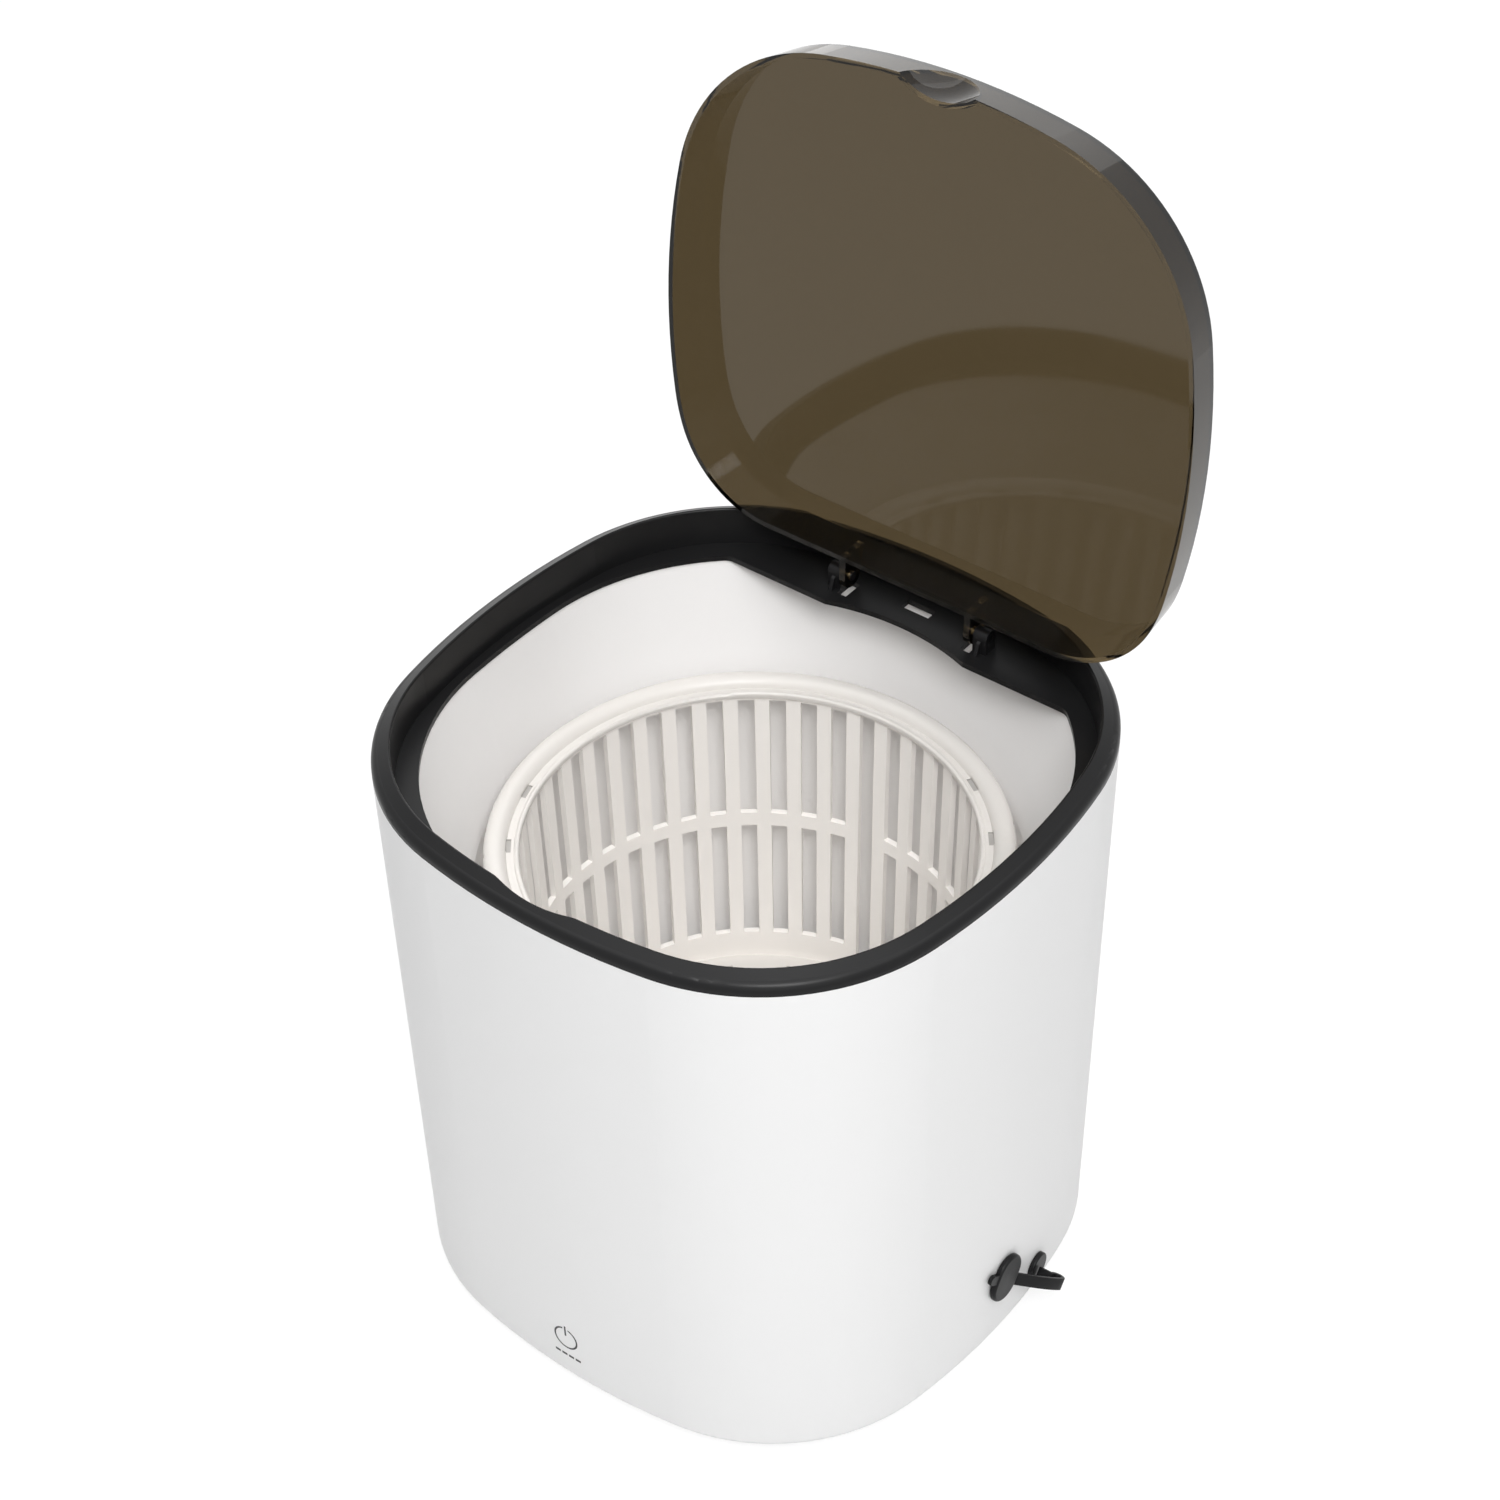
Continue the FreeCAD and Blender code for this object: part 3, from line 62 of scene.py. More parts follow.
# Printed mark, in widths of its line, radii of its ring, widths of the mark and pitches of its row
NOTCH_HALF, DASH_HALF = 1.6, 0.75
BAR_MIDDLE, BAR_HALF = 0.72, 0.48
ROW_DROP, DASH_PITCH = 0.86, 0.29
DASH_GAP, DASHES = 0.22, 4

# Strap, in metres: middle of the plug's seat, lift off the wall, last two points on the button
PLUG_SEAT = (0.13091, -0.0009, 0.0378)
STRAP_LIFT = 0.0004
STRAP_ENDS = (0.0026, 0.001)
STRAP_STEPS, STRAP_ARCH = 14, 0.25
SMOOTH_ANGLE = math.radians(40.0)

# Studio, in metres and radians, with the sensor in millimetres and the shift in picture widths
SENSOR_WIDTH = 36.0
SHIFT_X, SHIFT_Y = 0.001675, 0.008393
FLOOR_SIZE, FLOOR_GAP, FLOOR_GLOW = 12.0, 0.0002, 1.03
SHADOW_FADE, SHADOW_END = 0.75, 2.0
LAMP_DISTANCE, LAMP_AIM = 2.4, 0.2
KEY_SIZE, FRONT_SIZE, TOP_SIZE, BACK_SIZE = 0.9, 1.9, 4.0, 3.4
FRONT_HEIGHT, TOP_HEIGHT = math.radians(20.0), math.radians(86.0)
BACK_TURN, BACK_HEIGHT = math.radians(175.0), math.radians(30.0)


# Shader building


class Value:
    """A shader socket that takes part in Python arithmetic."""

    def __init__(self, graph, socket):
        self.graph = graph
        self.socket = socket

    def also(self, output):
        """Another output of the same node."""
        return Value(self.graph, self.socket.node.outputs[output])

    def math(self, operation, first, second=None, clamp=False):
        values = {0: first} if second is None else {0: first, 1: second}
        settings = {"operation": operation, "use_clamp": clamp}
        return self.graph.node("ShaderNodeMath", settings, values)

    def __add__(self, other):
        return self.math("ADD", self, other)

    def __radd__(self, other):
        return self.math("ADD", other, self)

    def __sub__(self, other):
        return self.math("SUBTRACT", self, other)

    def __rsub__(self, other):
        return self.math("SUBTRACT", other, self)

    def __mul__(self, other):
        return self.math("MULTIPLY", self, other)

    def __rmul__(self, other):
        return self.math("MULTIPLY", other, self)

    def __truediv__(self, other):
        return self.math("DIVIDE", self, other)

    def __rtruediv__(self, other):
        return self.math("DIVIDE", other, self)

    def __pow__(self, other):
        return self.math("POWER", self, other)

    def __rpow__(self, other):
        return self.math("POWER", other, self)

    def __mod__(self, other):
        return self.math("FLOORED_MODULO", self, other)

    def __rmod__(self, other):
        return self.math("FLOORED_MODULO", other, self)

    def __abs__(self):
        return self.math("ABSOLUTE", self)

    def __lt__(self, other):
        return self.math("LESS_THAN", self, other)

    def __gt__(self, other):
        return self.math("GREATER_THAN", self, other)

    def clamped(self):
        return self.math("ADD", self, 0.0, clamp=True)


class Graph:
    """The node tree of a material or of the surroundings."""

    def __init__(self, tree):
        self.tree = tree
        self.tree.nodes.clear()

    def put(self, node, values):
        """Set or link sockets of a node."""
        for key, value in values.items():
            if isinstance(value, Value):
                self.tree.links.new(value.socket, node.inputs[key])
            else:
                node.inputs[key].default_value = value

    def node(self, kind, settings=None, values=None, output=0):
        """Add a node with its settings and sockets, and give one of its outputs if it has any."""
        node = self.tree.nodes.new(kind)
        for key, value in (settings or {}).items():
            if key == "stops":
                for element, (place, colour) in zip(node.color_ramp.elements, value):
                    element.position = place
                    element.color = colour
            else:
                setattr(node, key, value)
        self.put(node, values or {})
        return Value(self, node.outputs[output]) if node.outputs else None

    def seen(self):
        """One for rays that come from the camera straight, by reflection or through the lid."""
        camera = self.node("ShaderNodeLightPath", output="Is Camera Ray")
        glossy, through = camera.also("Is Glossy Ray"), camera.also("Is Transmission Ray")
        return (camera + glossy + through).clamped()


class Shader(Graph):
    """One material and the nodes that feed its Principled shader."""

    def __init__(self, name):
        self.material = bpy.data.materials.new(name)
        self.material.use_nodes = True
        super().__init__(self.material.node_tree)
        self.surface = self.node("ShaderNodeBsdfPrincipled")
        self.node("ShaderNodeOutputMaterial", values={"Surface": self.surface})

    def place(self):
        return self.node("ShaderNodeTexCoord", output="Object")

    def axes(self):
        x = self.node("ShaderNodeSeparateXYZ", values={"Vector": self.place()}, output="X")
        return x, x.also("Y"), x.also("Z")

    def noise(self, scale, detail=2.0, stretch=None):
        where = self.place()
        if stretch:
            where = self.node("ShaderNodeMapping", values={"Vector": where, "Scale": stretch})
        values = {"Vector": where, "Scale": scale, "Detail": detail}
        return self.node("ShaderNodeTexNoise", values=values)

    def mix(self, factor, first, second):
        sockets = {0: factor, 6: first, 7: second}
        return self.node("ShaderNodeMix", {"data_type": "RGBA"}, sockets, output=2)

    def mottled(self, factor, colour, dark, light):
        """A colour that wanders between a darker and a lighter share of itself."""
        return self.mix(factor, rgba(colour, dark), rgba(colour, light))

    def bump(self, height, strength):
        values = {"Height": height, "Strength": strength, "Distance": SKIN_DEPTH}
        return self.node("ShaderNodeBump", values=values)

    def finish(self, **sockets):
        values = {key.replace("_", " "): value for key, value in sockets.items()}
        self.put(self.surface.socket.node, values)
        return self.material


def rgba(colour, factor=1.0):
    return (colour[0] * factor, colour[1] * factor, colour[2] * factor, 1.0)


def hypotenuse(first, second):
    return (first * first + second * second) ** 0.5


def around(value, middle, spread):
    """A value from zero to one turned into one that wanders round a middle."""
    return (value * spread + (middle - spread / 2)).clamped()


# Masks


def printed_mark(shader, mark):
    """Mask of the print on the front: a broken ring with a bar, over a row of plain dashes."""
    x, y, z = shader.axes()
    up = z - mark.height
    radius = mark.size / 2
    ring = abs(hypotenuse(x, up) - (radius - mark.line / 2)) < mark.line / 2
    notch = (abs(x) < mark.line * NOTCH_HALF) * (up > 0.0)
    bar = (abs(x) < mark.line / 2) * (abs(up - radius * BAR_MIDDLE) < radius * BAR_HALF)
    sign = (ring - notch).clamped() + bar
    row = abs(up + mark.size * ROW_DROP) < mark.line * DASH_HALF
    pitch = mark.size * DASH_PITCH
    row_half = pitch * DASHES / 2
    dash = ((x + row_half) % pitch > pitch * DASH_GAP) * (abs(x) < row_half)
    return ((sign + row * dash) * (y < 0.0)).clamped()


def painted_shade_slots(shader):
    """Mask of painted shade in the shallow clip slots, which lie below the floor of the rim's
    groove.
    """
    x, y, z = shader.axes()
    across = abs(hypotenuse(x, y) - SLOT_REACH) < SLOT_HALF
    return across * (abs(z - SLOT_HEIGHT) < SLOT_DEPTH / 2)


def painted_light_below_rim(shader):
    """Mask of painted light on the tub below the basket's rim, which fades in over a short height.
    """
    height = shader.axes()[2]
    return ((PAINTED_LIGHT_TOP - height) / PAINTED_LIGHT_FADE).clamped()


# Finishes


def moulded(name, colour, roughness, grain=0.0, mottle=0.03, mask=None, masked=None, **more):
    """Moulded plastic: faint flow mottle, wandering gloss and a second colour under a mask, used
    for print, painted shade and painted light.
    """
    shader = Shader(name)
    flow = shader.noise(scale=9.0, detail=3.0)
    worn = shader.noise(scale=60.0, detail=4.0)
    base = shader.mottled(flow, colour, dark=1.0 - mottle, light=1.0 + mottle)
    if mask:
        base = shader.mix(mask(shader), base, masked)
    if grain:
        more["Normal"] = shader.bump(shader.noise(scale=2600.0), strength=grain)
    return shader.finish(Base_Color=base, Roughness=around(worn, roughness, spread=0.1), **more)


def smoke_plastic(name, tint, roughness):
    """Clear tinted plastic, coloured where light passes through its faces."""
    shader = Shader(name)
    haze = shader.noise(scale=38.0, detail=3.0)
    return shader.finish(
        Base_Color=shader.mottled(haze, tint, dark=0.98, light=1.02),
        Roughness=around(haze, roughness, spread=0.03),
        Transmission_Weight=1.0,
        IOR=1.36,
    )


def rubber(name, colour, roughness, sheen=0.35):
    """Black rubber or soft vinyl: dusty mottle, patchy gloss and a fine skin."""
    shader = Shader(name)
    dust = shader.noise(scale=120.0, detail=4.0)
    return shader.finish(
        Base_Color=shader.mottled(dust, colour, dark=0.85, light=1.2),
        Roughness=around(dust, roughness, spread=0.16),
        Specular_IOR_Level=sheen,
        Normal=shader.bump(shader.noise(scale=3800.0), strength=0.12),
    )


def metal(name, colour, roughness, stretch):
    """Drawn or turned metal with fine lines along one direction."""
    shader = Shader(name)
    lines = shader.noise(scale=900.0, detail=3.0, stretch=stretch)
    return shader.finish(
        Base_Color=shader.mottled(lines, colour, dark=0.9, light=1.08),
        Metallic=1.0,
        Roughness=around(lines, roughness, spread=0.18),
        Normal=shader.bump(lines, strength=0.08),
    )


def board_finish(name, colour, roughness):
    """Circuit board: solder mask with faint tracks showing through."""
    shader = Shader(name)
    tracks = shader.noise(scale=420.0, detail=0.0, stretch=(1.0, 1.0, 0.35))
    edge = {"stops": ((0.5, BLACK), (0.54, WHITE))}
    shown = shader.node("ShaderNodeValToRGB", edge, {0: tracks})
    return shader.finish(
        Base_Color=shader.mottled(shown, colour, dark=0.8, light=1.5),
        Roughness=around(tracks, roughness, spread=0.1),
    )


def floor_finish(name, shadow):
    """Pale floor that shows white, but for a share of the shadow near the machine."""
    shader = Shader(name)
    seen = shader.seen()
    x, y, _ = shader.axes()
    near = ((SHADOW_END - hypotenuse(x, y)) / (SHADOW_END - SHADOW_FADE)).clamped() * shadow
    pale = shader.mottled(shader.noise(scale=1.5), WHITE, dark=0.73, light=0.77)
    return shader.finish(
        Base_Color=shader.mix(seen, pale, near),
        Roughness=0.9,
        Specular_IOR_Level=0.0,
        Emission_Color=shader.mix(seen, BLACK, FLOOR_GLOW - near),
        Emission_Strength=1.0,
    )


def dress(material, *names):
    """Give CAD nodes a finish."""
    for name in names:
        for place in NODES[name].material_slots:
            place.material = material


# Places


def direction(bearing, height):
    """Unit vector to a place at a bearing from the front and a height angle."""
    flat = math.cos(height)
    return Vector((math.sin(bearing) * flat, -math.cos(bearing) * flat, math.sin(height)))


def placement(axes, origin):
    """Matrix that lays X, Y and Z along three axes from an origin."""
    place = Matrix(axes).transposed().to_4x4()
    place.translation = origin
    return place


# Settings


class WasherFinishes(bpy.types.PropertyGroup):
    """Colours of the finishes"""

    body: FloatVectorProperty(
        name="Body",
        description="Colour of the outer shell",
        default=(0.84, 0.84, 0.84),
        subtype="COLOR",
    )
    ring: FloatVectorProperty(
        name="Ring",
        description="Colour of the top ring",
        default=(0.010, 0.010, 0.0105),
        subtype="COLOR",
    )
    lid: FloatVectorProperty(
        name="Lid",
        description="Tint of the lid for light through its plate",
        default=(0.080, 0.058, 0.029),
        subtype="COLOR",
    )
    tub: FloatVectorProperty(
        name="Tub",
        description="Colour of the tub",
        default=(0.85, 0.84, 0.835),
        subtype="COLOR",
    )
    # Painted light: the tub below the basket's rim is paler than the tub above, standing in for
    # light that passes through the basket's bars.
    painted_light: FloatVectorProperty(
        name="Deep",
        description="Colour of the tub behind the basket",
        default=(0.98, 0.965, 0.955),
        subtype="COLOR",
    )
    # Painted light: the basket's wall, rim and floor are one white plastic, given as a paler copy
    # for the wall, standing in for light through its thin bars, and a darker copy for the rim and
    # floor, which face the lamps overhead.
    basket: FloatVectorProperty(
        name="Basket",
        description="Colour of the basket's wall",
        default=(0.96, 0.93, 0.895),
        subtype="COLOR",
    )
    # Painted shade: the rim and floor take a darker copy of the basket's white.
    rim: FloatVectorProperty(
        name="Rim",
        description="Colour of the basket's rim and floor",
        default=(0.69, 0.665, 0.635),
        subtype="COLOR",
    )
    rubber: FloatVectorProperty(
        name="Rubber",
        description="Colour of the rubber pieces",
        default=(0.014, 0.014, 0.015),
        subtype="COLOR",
    )


class WasherMark(bpy.types.PropertyGroup):
    """Size and place of the printed mark"""

    size: FloatProperty(
        name="Size", description="Width of the printed mark", default=0.0125, **LENGTH
    )
    line: FloatProperty(name="Line", description="Width of its lines", default=0.0009, **LENGTH)
    height: FloatProperty(
        name="Height", description="Height of its middle", default=0.027, **LENGTH
    )


class WasherStrap(bpy.types.PropertyGroup):
    """Course and section of the plug's strap"""

    width: FloatProperty(name="Width", description="Width of the strap", default=0.0053, **LENGTH)
    thick: FloatProperty(
        name="Thickness", description="Thickness of the strap", default=0.0016, **LENGTH
    )
    slope: FloatProperty(
        name="Slope",
        description="Fall of the strap along the wall",
        default=math.radians(35.5),
        **ANGLE,
    )
    start: FloatProperty(
        name="Start", description="Plug's middle to the strap", default=0.0102, **LENGTH
    )
    reach: FloatProperty(
        name="Reach", description="Plug's middle to the button", default=0.0336, **LENGTH
    )
    bulge: FloatProperty(name="Bulge", description="How far it bows out", default=0.012, **LENGTH)
    turn: FloatProperty(
        name="Turn", description="Radius of its turn back", default=0.0026, **LENGTH
    )
    drop: FloatProperty(
        name="Drop", description="Its middle below the plug's", default=0.0018, **LENGTH
    )
    edge: FloatProperty(name="Edge", description="Rounding of its edges", default=0.0003, **LENGTH)


class WasherStage(bpy.types.PropertyGroup):
    """Camera, lights and floor"""

    azimuth: FloatProperty(
        name="Azimuth", description="Camera bearing", default=math.radians(38.958), **ANGLE
    )
    elevation: FloatProperty(
        name="Elevation", description="Camera height angle", default=math.radians(40.564), **ANGLE
    )
    roll: FloatProperty(
        name="Roll", description="Camera roll", default=math.radians(-1.496), **ANGLE
    )
    distance: FloatProperty(
        name="Distance", description="Camera distance", default=1.363758, **LENGTH
    )
    aim: FloatProperty(
        name="Aim", description="Height the camera looks at", default=0.252806, **LENGTH
    )
    lens: FloatProperty(name="Lens", description="Focal length", default=82.694, **LENS)
    bearing: FloatProperty(
        name="Bearing", description="Bearing of the key light", default=math.radians(46.0), **ANGLE
    )
    height: FloatProperty(
        name="Height",
        description="Height angle of the key light",
        default=math.radians(50.0),
        **ANGLE,
    )
    key: FloatProperty(name="Key", description="Power of the key light", default=30.0, **POWER)
    front: FloatProperty(
        name="Front", description="Power of the low front light", default=7.0, **POWER
    )
    back: FloatProperty(
        name="Back", description="Power of the light behind", default=20.0, **POWER
    )
    top: FloatProperty(
        name="Top", description="Power of the light overhead", default=68.0, **POWER
    )
    sky: FloatProperty(
        name="Sky", description="Brightness of the surroundings", default=0.12, **SHARE
    )
    shadow: FloatProperty(
        name="Shadow", description="Share of the shadow that the floor shows", default=0.2, **SHARE
    )


# Operators


class WASHER_OT_body(bpy.types.Operator):
    """Finish the white shell, the base under it and the drain elbow"""

    bl_idname = "washer.body"
    bl_label = "Body"

    def execute(self, context):
        mark = context.scene.washer_mark
        white = moulded(
            "body_white",
            context.scene.washer_finishes.body,
            roughness=0.34,
            grain=0.02,
            mottle=0.006,
            mask=lambda shader: printed_mark(shader, mark),
            masked=INK,
            Specular_IOR_Level=0.15,
        )
        grey = moulded("base_grey", (0.60, 0.61, 0.61), roughness=0.5, grain=0.1)
        dress(white, "outer_shell")
        dress(grey, "base_plate", "drain_elbow")
        return {"FINISHED"}


class WASHER_OT_ring(bpy.types.Operator):
    """Finish the black top ring and its hinge pins"""

    bl_idname = "washer.ring"
    bl_label = "Ring"

    def execute(self, context):
        black = moulded(
            "ring_black",
            context.scene.washer_finishes.ring,
            roughness=0.32,
            grain=0.16,
            mottle=0.08,
            Specular_IOR_Level=0.16,
        )
        steel = metal("pin_steel", (0.10, 0.10, 0.105), roughness=0.35, stretch=(0.05, 1.0, 1.0))
        dress(black, "top_ring")
        dress(steel, "hinge_pin_left", "hinge_pin_right")
        return {"FINISHED"}


class WASHER_OT_lid(bpy.types.Operator):
    """Finish the see-through lid"""

    bl_idname = "washer.lid"
    bl_label = "Lid"

    def execute(self, context):
        smoke = smoke_plastic("lid_smoke", context.scene.washer_finishes.lid, roughness=0.045)
        dress(smoke, "lid")
        return {"FINISHED"}


class WASHER_OT_tub(bpy.types.Operator):
    """Finish the tub, with painted light on its part below the basket's rim, and the turbine in
    its floor
    """

    bl_idname = "washer.tub"
    bl_label = "Tub"

    def execute(self, context):
        finishes = context.scene.washer_finishes
        tub = moulded(
            "tub_grey",
            finishes.tub,
            roughness=0.4,
            grain=0.05,
            mottle=0.01,
            # Painted light: the tub below the basket's rim takes the paler colour.
            mask=painted_light_below_rim,
            masked=rgba(finishes.painted_light),
        )
        turbine = moulded("pulsator_white", (0.70, 0.71, 0.72), roughness=0.35, grain=0.03)
        dress(tub, "inner_tub")
        dress(turbine, "pulsator")
        return {"FINISHED"}


class WASHER_OT_basket(bpy.types.Operator):
    """Finish the drain basket: a paler wall and a darker rim and floor as painted light, and
    painted shade in the clip slots
    """

    bl_idname = "washer.basket"
    bl_label = "Basket"

    def execute(self, context):
        finishes = context.scene.washer_finishes
        skin = {"roughness": 0.38, "grain": 0.03, "mottle": 0.015}
        # Painted shade: the clip slots take a darker copy of the rim's colour.
        slots = {"mask": painted_shade_slots, "masked": rgba(finishes.rim, factor=0.6)}
        # Painted light: the wall takes the paler copy and the rim and floor the darker one.
        wall = moulded("basket_white", finishes.basket, **skin)
        rim = moulded("rim_white", finishes.rim, **skin, **slots)
        dress(wall, "basket_panel_left", "basket_panel_right")
        dress(rim, "basket_rim", "basket_floor")
        return {"FINISHED"}


class WASHER_OT_drive(bpy.types.Operator):
    """Finish the motor, shafts, pulleys, bearings, screws and power inlet"""

    bl_idname = "washer.drive"
    bl_label = "Drive"

    def execute(self, context):
        turned, cast = (1.0, 1.0, 0.08), (0.3, 0.3, 0.3)
        steel = metal("steel", (0.58, 0.58, 0.59), roughness=0.32, stretch=turned)
        zinc = metal("motor_zinc", (0.62, 0.63, 0.64), roughness=0.42, stretch=cast)
        brass = metal("bush_brass", (0.70, 0.52, 0.24), roughness=0.35, stretch=turned)
        black = moulded("drive_black", (0.03, 0.03, 0.033), roughness=0.5, grain=0.1, mottle=0.1)
        dress(steel, "base_screws", "pulsator_screw", "drive_shaft", "pulley_nut", "motor_shaft")
        dress(steel, "motor_screws", "bracket_screws", "inlet_nut")
        dress(zinc, "motor_can", "motor_bracket")
        dress(brass, "upper_bush", "lower_bush", "motor_pulley")
        dress(black, "bearing_housing", "driven_pulley", "motor_end_cap", "power_inlet")
        return {"FINISHED"}


class WASHER_OT_rubber(bpy.types.Operator):
    """Finish the feet, seals, belt, touch pad, leads, drain plug and the strap's button"""

    bl_idname = "washer.rubber"
    bl_label = "Rubber"

    def execute(self, context):
        colour = context.scene.washer_finishes.rubber
        black = rubber("rubber_black", colour, roughness=0.5)
        vinyl = rubber("plug_vinyl", rgba(colour, factor=0.6), roughness=0.36, sheen=0.15)
        dress(black, "rubber_feet", "shaft_seal", "drive_belt", "drain_seal", "touch_pad")
        dress(black, "motor_lead", "inlet_lead")
        dress(vinyl, "drain_plug", "strap_anchor")
        return {"FINISHED"}


class WASHER_OT_strap(bpy.types.Operator):
    """Model the strap that keeps the plug on its button"""

    bl_idname = "washer.strap"
    bl_label = "Strap"

    def execute(self, context):
        strap = context.scene.washer_strap
        bpy.ops.object.select_all(action="DESELECT")
        bpy.ops.curve.primitive_bezier_curve_add()
        self.set_line(context.object.data, self.centre_line(strap), strap)
        bpy.ops.object.convert(target="MESH")
        band = context.object
        self.thicken(band, strap)
        band.name = "tether"
        place = self.on_wall(strap)
        band.matrix_world = place
        bpy.ops.object.transform_apply(location=True, rotation=True, scale=True)
        band.data.materials.append(bpy.data.materials["plug_vinyl"])
        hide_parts("plug_strap")
        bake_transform(band)
        return {"FINISHED"}

    def centre_line(self, strap):
        """Points along the strap and out from the wall, from the plug to the button."""
        points = []
        root = STRAP_LIFT + strap.thick / 2
        for k in range(STRAP_STEPS + 1):
            share = k / STRAP_STEPS
            along = strap.start + (strap.reach - strap.start) * share
            arch = share * (1.0 + STRAP_ARCH) - STRAP_ARCH * share ** 3
            points.append((along, root + (strap.bulge - root) * arch))
        for k in range(1, STRAP_STEPS + 1):
            angle = math.pi * (0.5 - k / STRAP_STEPS)
            along = strap.reach + strap.turn * math.cos(angle)
            points.append((along, strap.bulge - strap.turn + strap.turn * math.sin(angle)))
        for out in STRAP_ENDS:
            points.append((strap.reach - strap.thick / 2, out))
        return points

    def set_line(self, curve, line, strap):
        """Lay the curve along the points, as wide as the strap."""
        curve.splines.clear()
        spline = curve.splines.new("POLY")
        spline.points.add(len(line) - 1)
        for point, (along, out) in zip(spline.points, line):
            point.co = (along, out, 0.0, 1.0)
        curve.dimensions = "2D"
        curve.fill_mode = "NONE"
        curve.extrude = strap.width / 2

    def thicken(self, band, strap):
        """Give the ribbon its thickness and soft edges."""
        self.modify(band, "SOLIDIFY", thickness=strap.thick, offset=0.0)
        self.modify(band, "BEVEL", width=strap.edge, segments=2)
        bpy.ops.object.mode_set(mode="EDIT")
        bpy.ops.mesh.select_all(action="SELECT")
        bpy.ops.mesh.normals_make_consistent(inside=False)
        bpy.ops.object.mode_set(mode="OBJECT")
        bpy.ops.object.shade_smooth_by_angle(angle=SMOOTH_ANGLE)

    def modify(self, band, kind, **settings):
        """Add a modifier with its settings and apply it."""
        bpy.ops.object.modifier_add(type=kind)
        modifier = band.modifiers[-1]
        for key, value in settings.items():
            setattr(modifier, key, value)
        bpy.ops.object.modifier_apply(modifier=modifier.name)

    def on_wall(self, strap):
        """Matrix that lays the strap on the wall, from the plug down its slope."""
        along = Vector((0.0, math.cos(strap.slope), -math.sin(strap.slope)))
        out = Vector((1.0, 0.0, 0.0))
        down = along.cross(out)
        return placement((along, out, down), Vector(PLUG_SEAT) + down * strap.drop)


class WASHER_OT_board(bpy.types.Operator):
    """Finish the control board"""

    bl_idname = "washer.board"
    bl_label = "Control board"

    def execute(self, context):
        green = board_finish("board_green", (0.03, 0.17, 0.07), roughness=0.37)
        dress(green, "control_board")
        return {"FINISHED"}


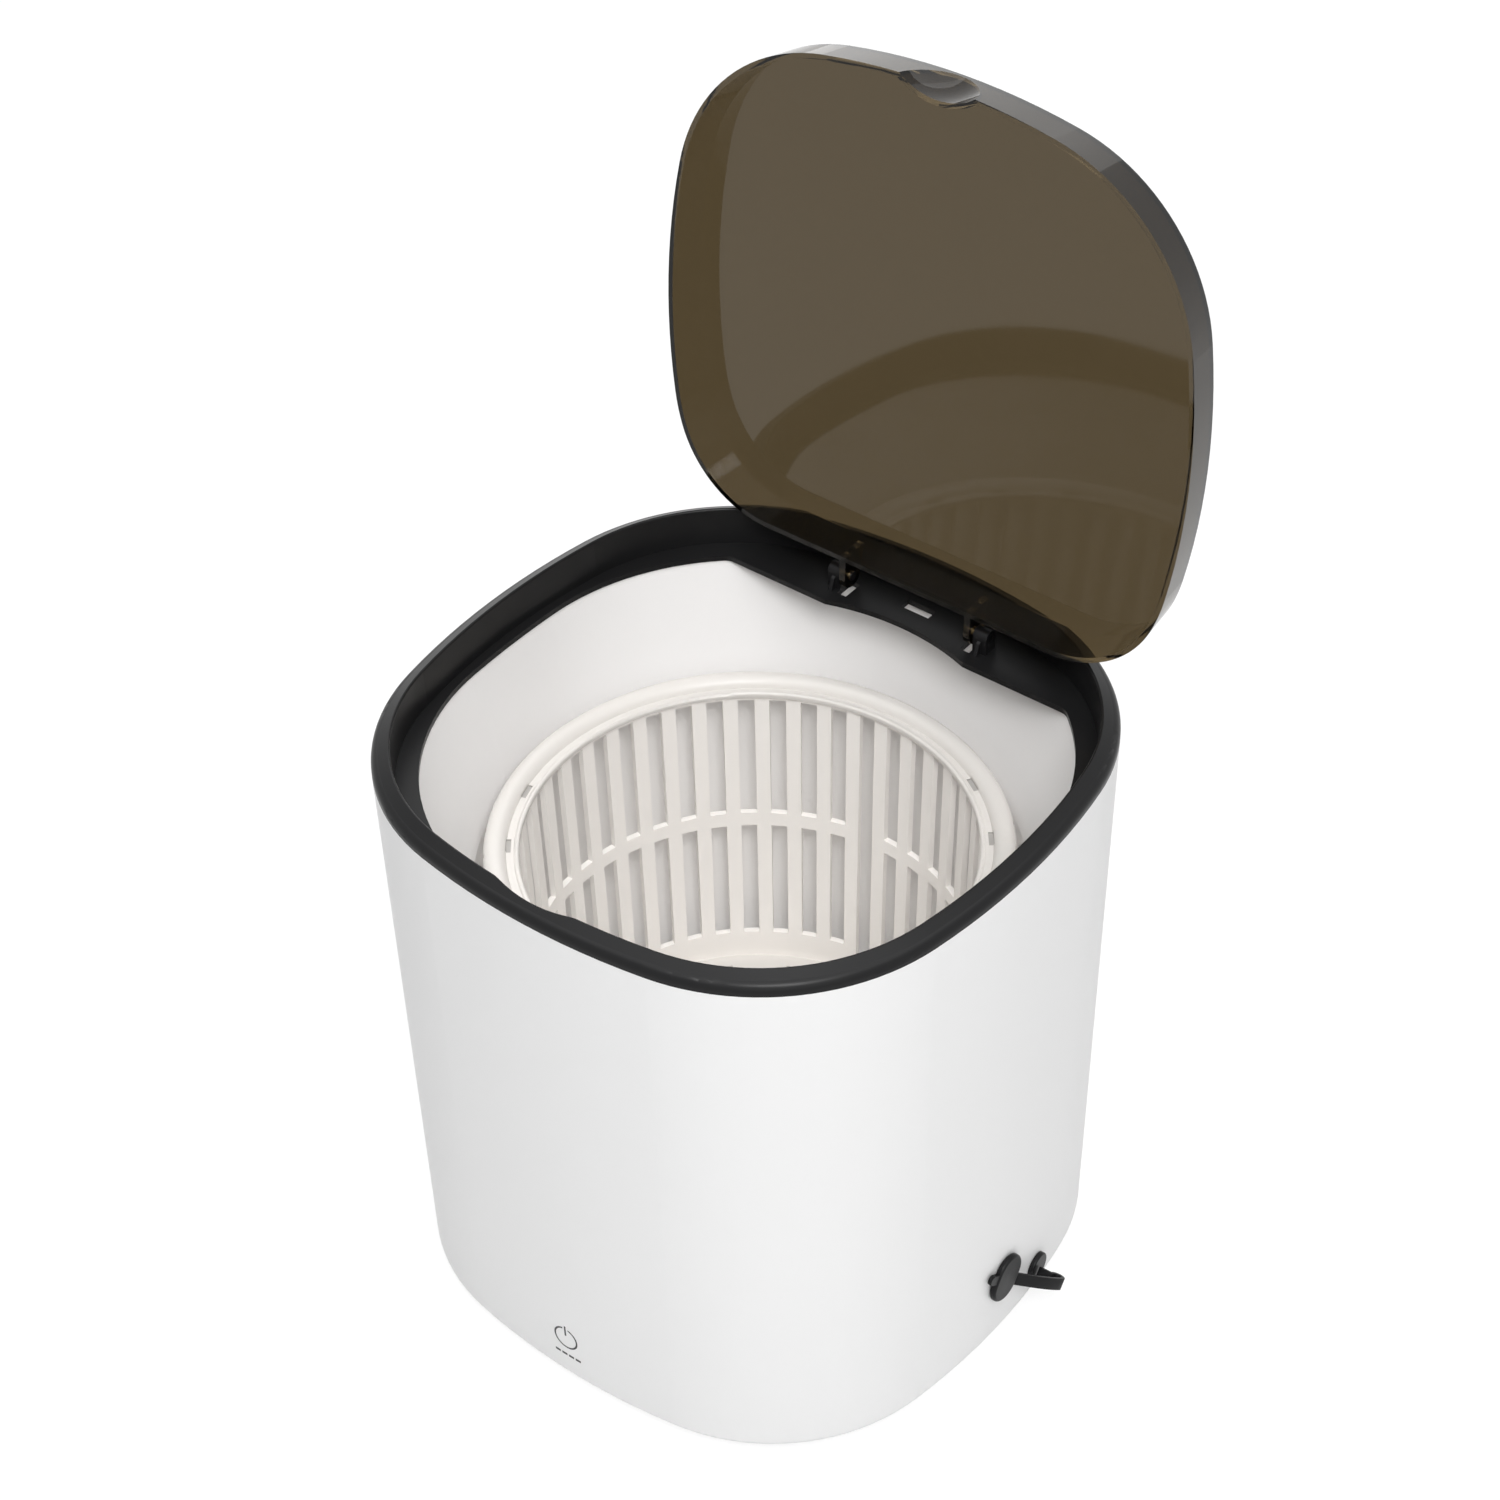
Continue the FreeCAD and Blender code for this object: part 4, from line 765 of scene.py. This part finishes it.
class WASHER_OT_stage(bpy.types.Operator):
    """Build the camera, the floor, the surroundings and the lights"""

    bl_idname = "washer.stage"
    bl_label = "Stage"

    def execute(self, context):
        stage = context.scene.washer_stage
        context.scene.view_settings.view_transform = "Standard"
        self.camera(context, stage)
        self.floor(context, stage)
        self.surroundings(context, stage)
        lamps = (
            ("key", stage.key, stage.bearing, stage.height, KEY_SIZE),
            ("front", stage.front, stage.bearing, FRONT_HEIGHT, FRONT_SIZE),
            ("top", stage.top, stage.bearing, TOP_HEIGHT, TOP_SIZE),
            ("back", stage.back, stage.bearing + BACK_TURN, BACK_HEIGHT, BACK_SIZE),
        )
        for name, power, bearing, height, size in lamps:
            self.light(context, name, power, direction(bearing, height), size)
        return {"FINISHED"}

    def camera(self, context, stage):
        back = direction(stage.azimuth, stage.elevation)
        level = Vector((math.cos(stage.azimuth), math.sin(stage.azimuth), 0.0))
        upright = back.cross(level)
        right = level * math.cos(stage.roll) + upright * math.sin(stage.roll)
        up = upright * math.cos(stage.roll) - level * math.sin(stage.roll)
        data = bpy.data.cameras.new("camera")
        data.sensor_fit = "HORIZONTAL"
        data.sensor_width = SENSOR_WIDTH
        data.lens = stage.lens
        data.shift_x = SHIFT_X
        data.shift_y = SHIFT_Y
        camera = bpy.data.objects.new("camera", data)
        middle = Vector((0.0, 0.0, stage.aim))
        camera.matrix_world = placement((right, up, back), middle + back * stage.distance)
        context.scene.collection.objects.link(camera)
        context.scene.camera = camera

    def floor(self, context, stage):
        bpy.ops.mesh.primitive_plane_add(size=FLOOR_SIZE, location=(0.0, 0.0, -FLOOR_GAP))
        plane = context.object
        plane.name = "floor"
        plane.data.materials.append(floor_finish("floor_pale", stage.shadow))

    def surroundings(self, context, stage):
        """White where the camera sees them, dim as a light."""
        world = bpy.data.worlds.new("surroundings")
        context.scene.world = world
        world.use_nodes = True
        graph = Graph(world.node_tree)
        dim = graph.node("ShaderNodeBackground", values={"Color": WHITE, "Strength": stage.sky})
        white = graph.node("ShaderNodeBackground", values={"Color": WHITE})
        both = graph.node("ShaderNodeMixShader", values={0: graph.seen(), 1: dim, 2: white})
        graph.node("ShaderNodeOutputWorld", values={"Surface": both})

    def light(self, context, name, power, back, size):
        data = bpy.data.lights.new(name, "AREA")
        data.shape = "DISK"
        data.size = size
        data.energy = power
        lamp = bpy.data.objects.new(name, data)
        lamp.location = back * LAMP_DISTANCE + Vector((0.0, 0.0, LAMP_AIM))
        lamp.rotation_euler = back.to_track_quat("Z", "Y").to_euler()
        context.scene.collection.objects.link(lamp)


class WASHER_PT_panel(bpy.types.Panel):
    """Sidebar panel that lists the steps and their settings"""

    bl_idname = "WASHER_PT_panel"
    bl_label = "Washer"
    bl_space_type = "VIEW_3D"
    bl_region_type = "UI"
    bl_category = "Washer"

    def draw(self, context):
        for step in STEPS:
            self.layout.operator(step.bl_idname)
        for name in GROUPS:
            group = getattr(context.scene, name)
            for key in group.bl_rna.properties.keys():
                if key not in ("rna_type", "name"):
                    self.layout.prop(group, key)


GROUPS = {
    "washer_finishes": WasherFinishes,
    "washer_mark": WasherMark,
    "washer_strap": WasherStrap,
    "washer_stage": WasherStage,
}
STEPS = (
    WASHER_OT_body,
    WASHER_OT_ring,
    WASHER_OT_lid,
    WASHER_OT_tub,
    WASHER_OT_basket,
    WASHER_OT_drive,
    WASHER_OT_rubber,
    WASHER_OT_strap,
    WASHER_OT_board,
    WASHER_OT_stage,
)
CLASSES = (*GROUPS.values(), *STEPS, WASHER_PT_panel)


def register():
    for item in CLASSES:
        bpy.utils.register_class(item)
    for name, group in GROUPS.items():
        setattr(bpy.types.Scene, name, PointerProperty(type=group))


def unregister():
    for name in GROUPS:
        delattr(bpy.types.Scene, name)
    for item in reversed(CLASSES):
        bpy.utils.unregister_class(item)


def main():
    register()
    bpy.ops.object.select_all(action="DESELECT")
    for step in STEPS:
        getattr(bpy.ops.washer, step.bl_idname.split(".")[1])()


if __name__ == "__main__":
    main()
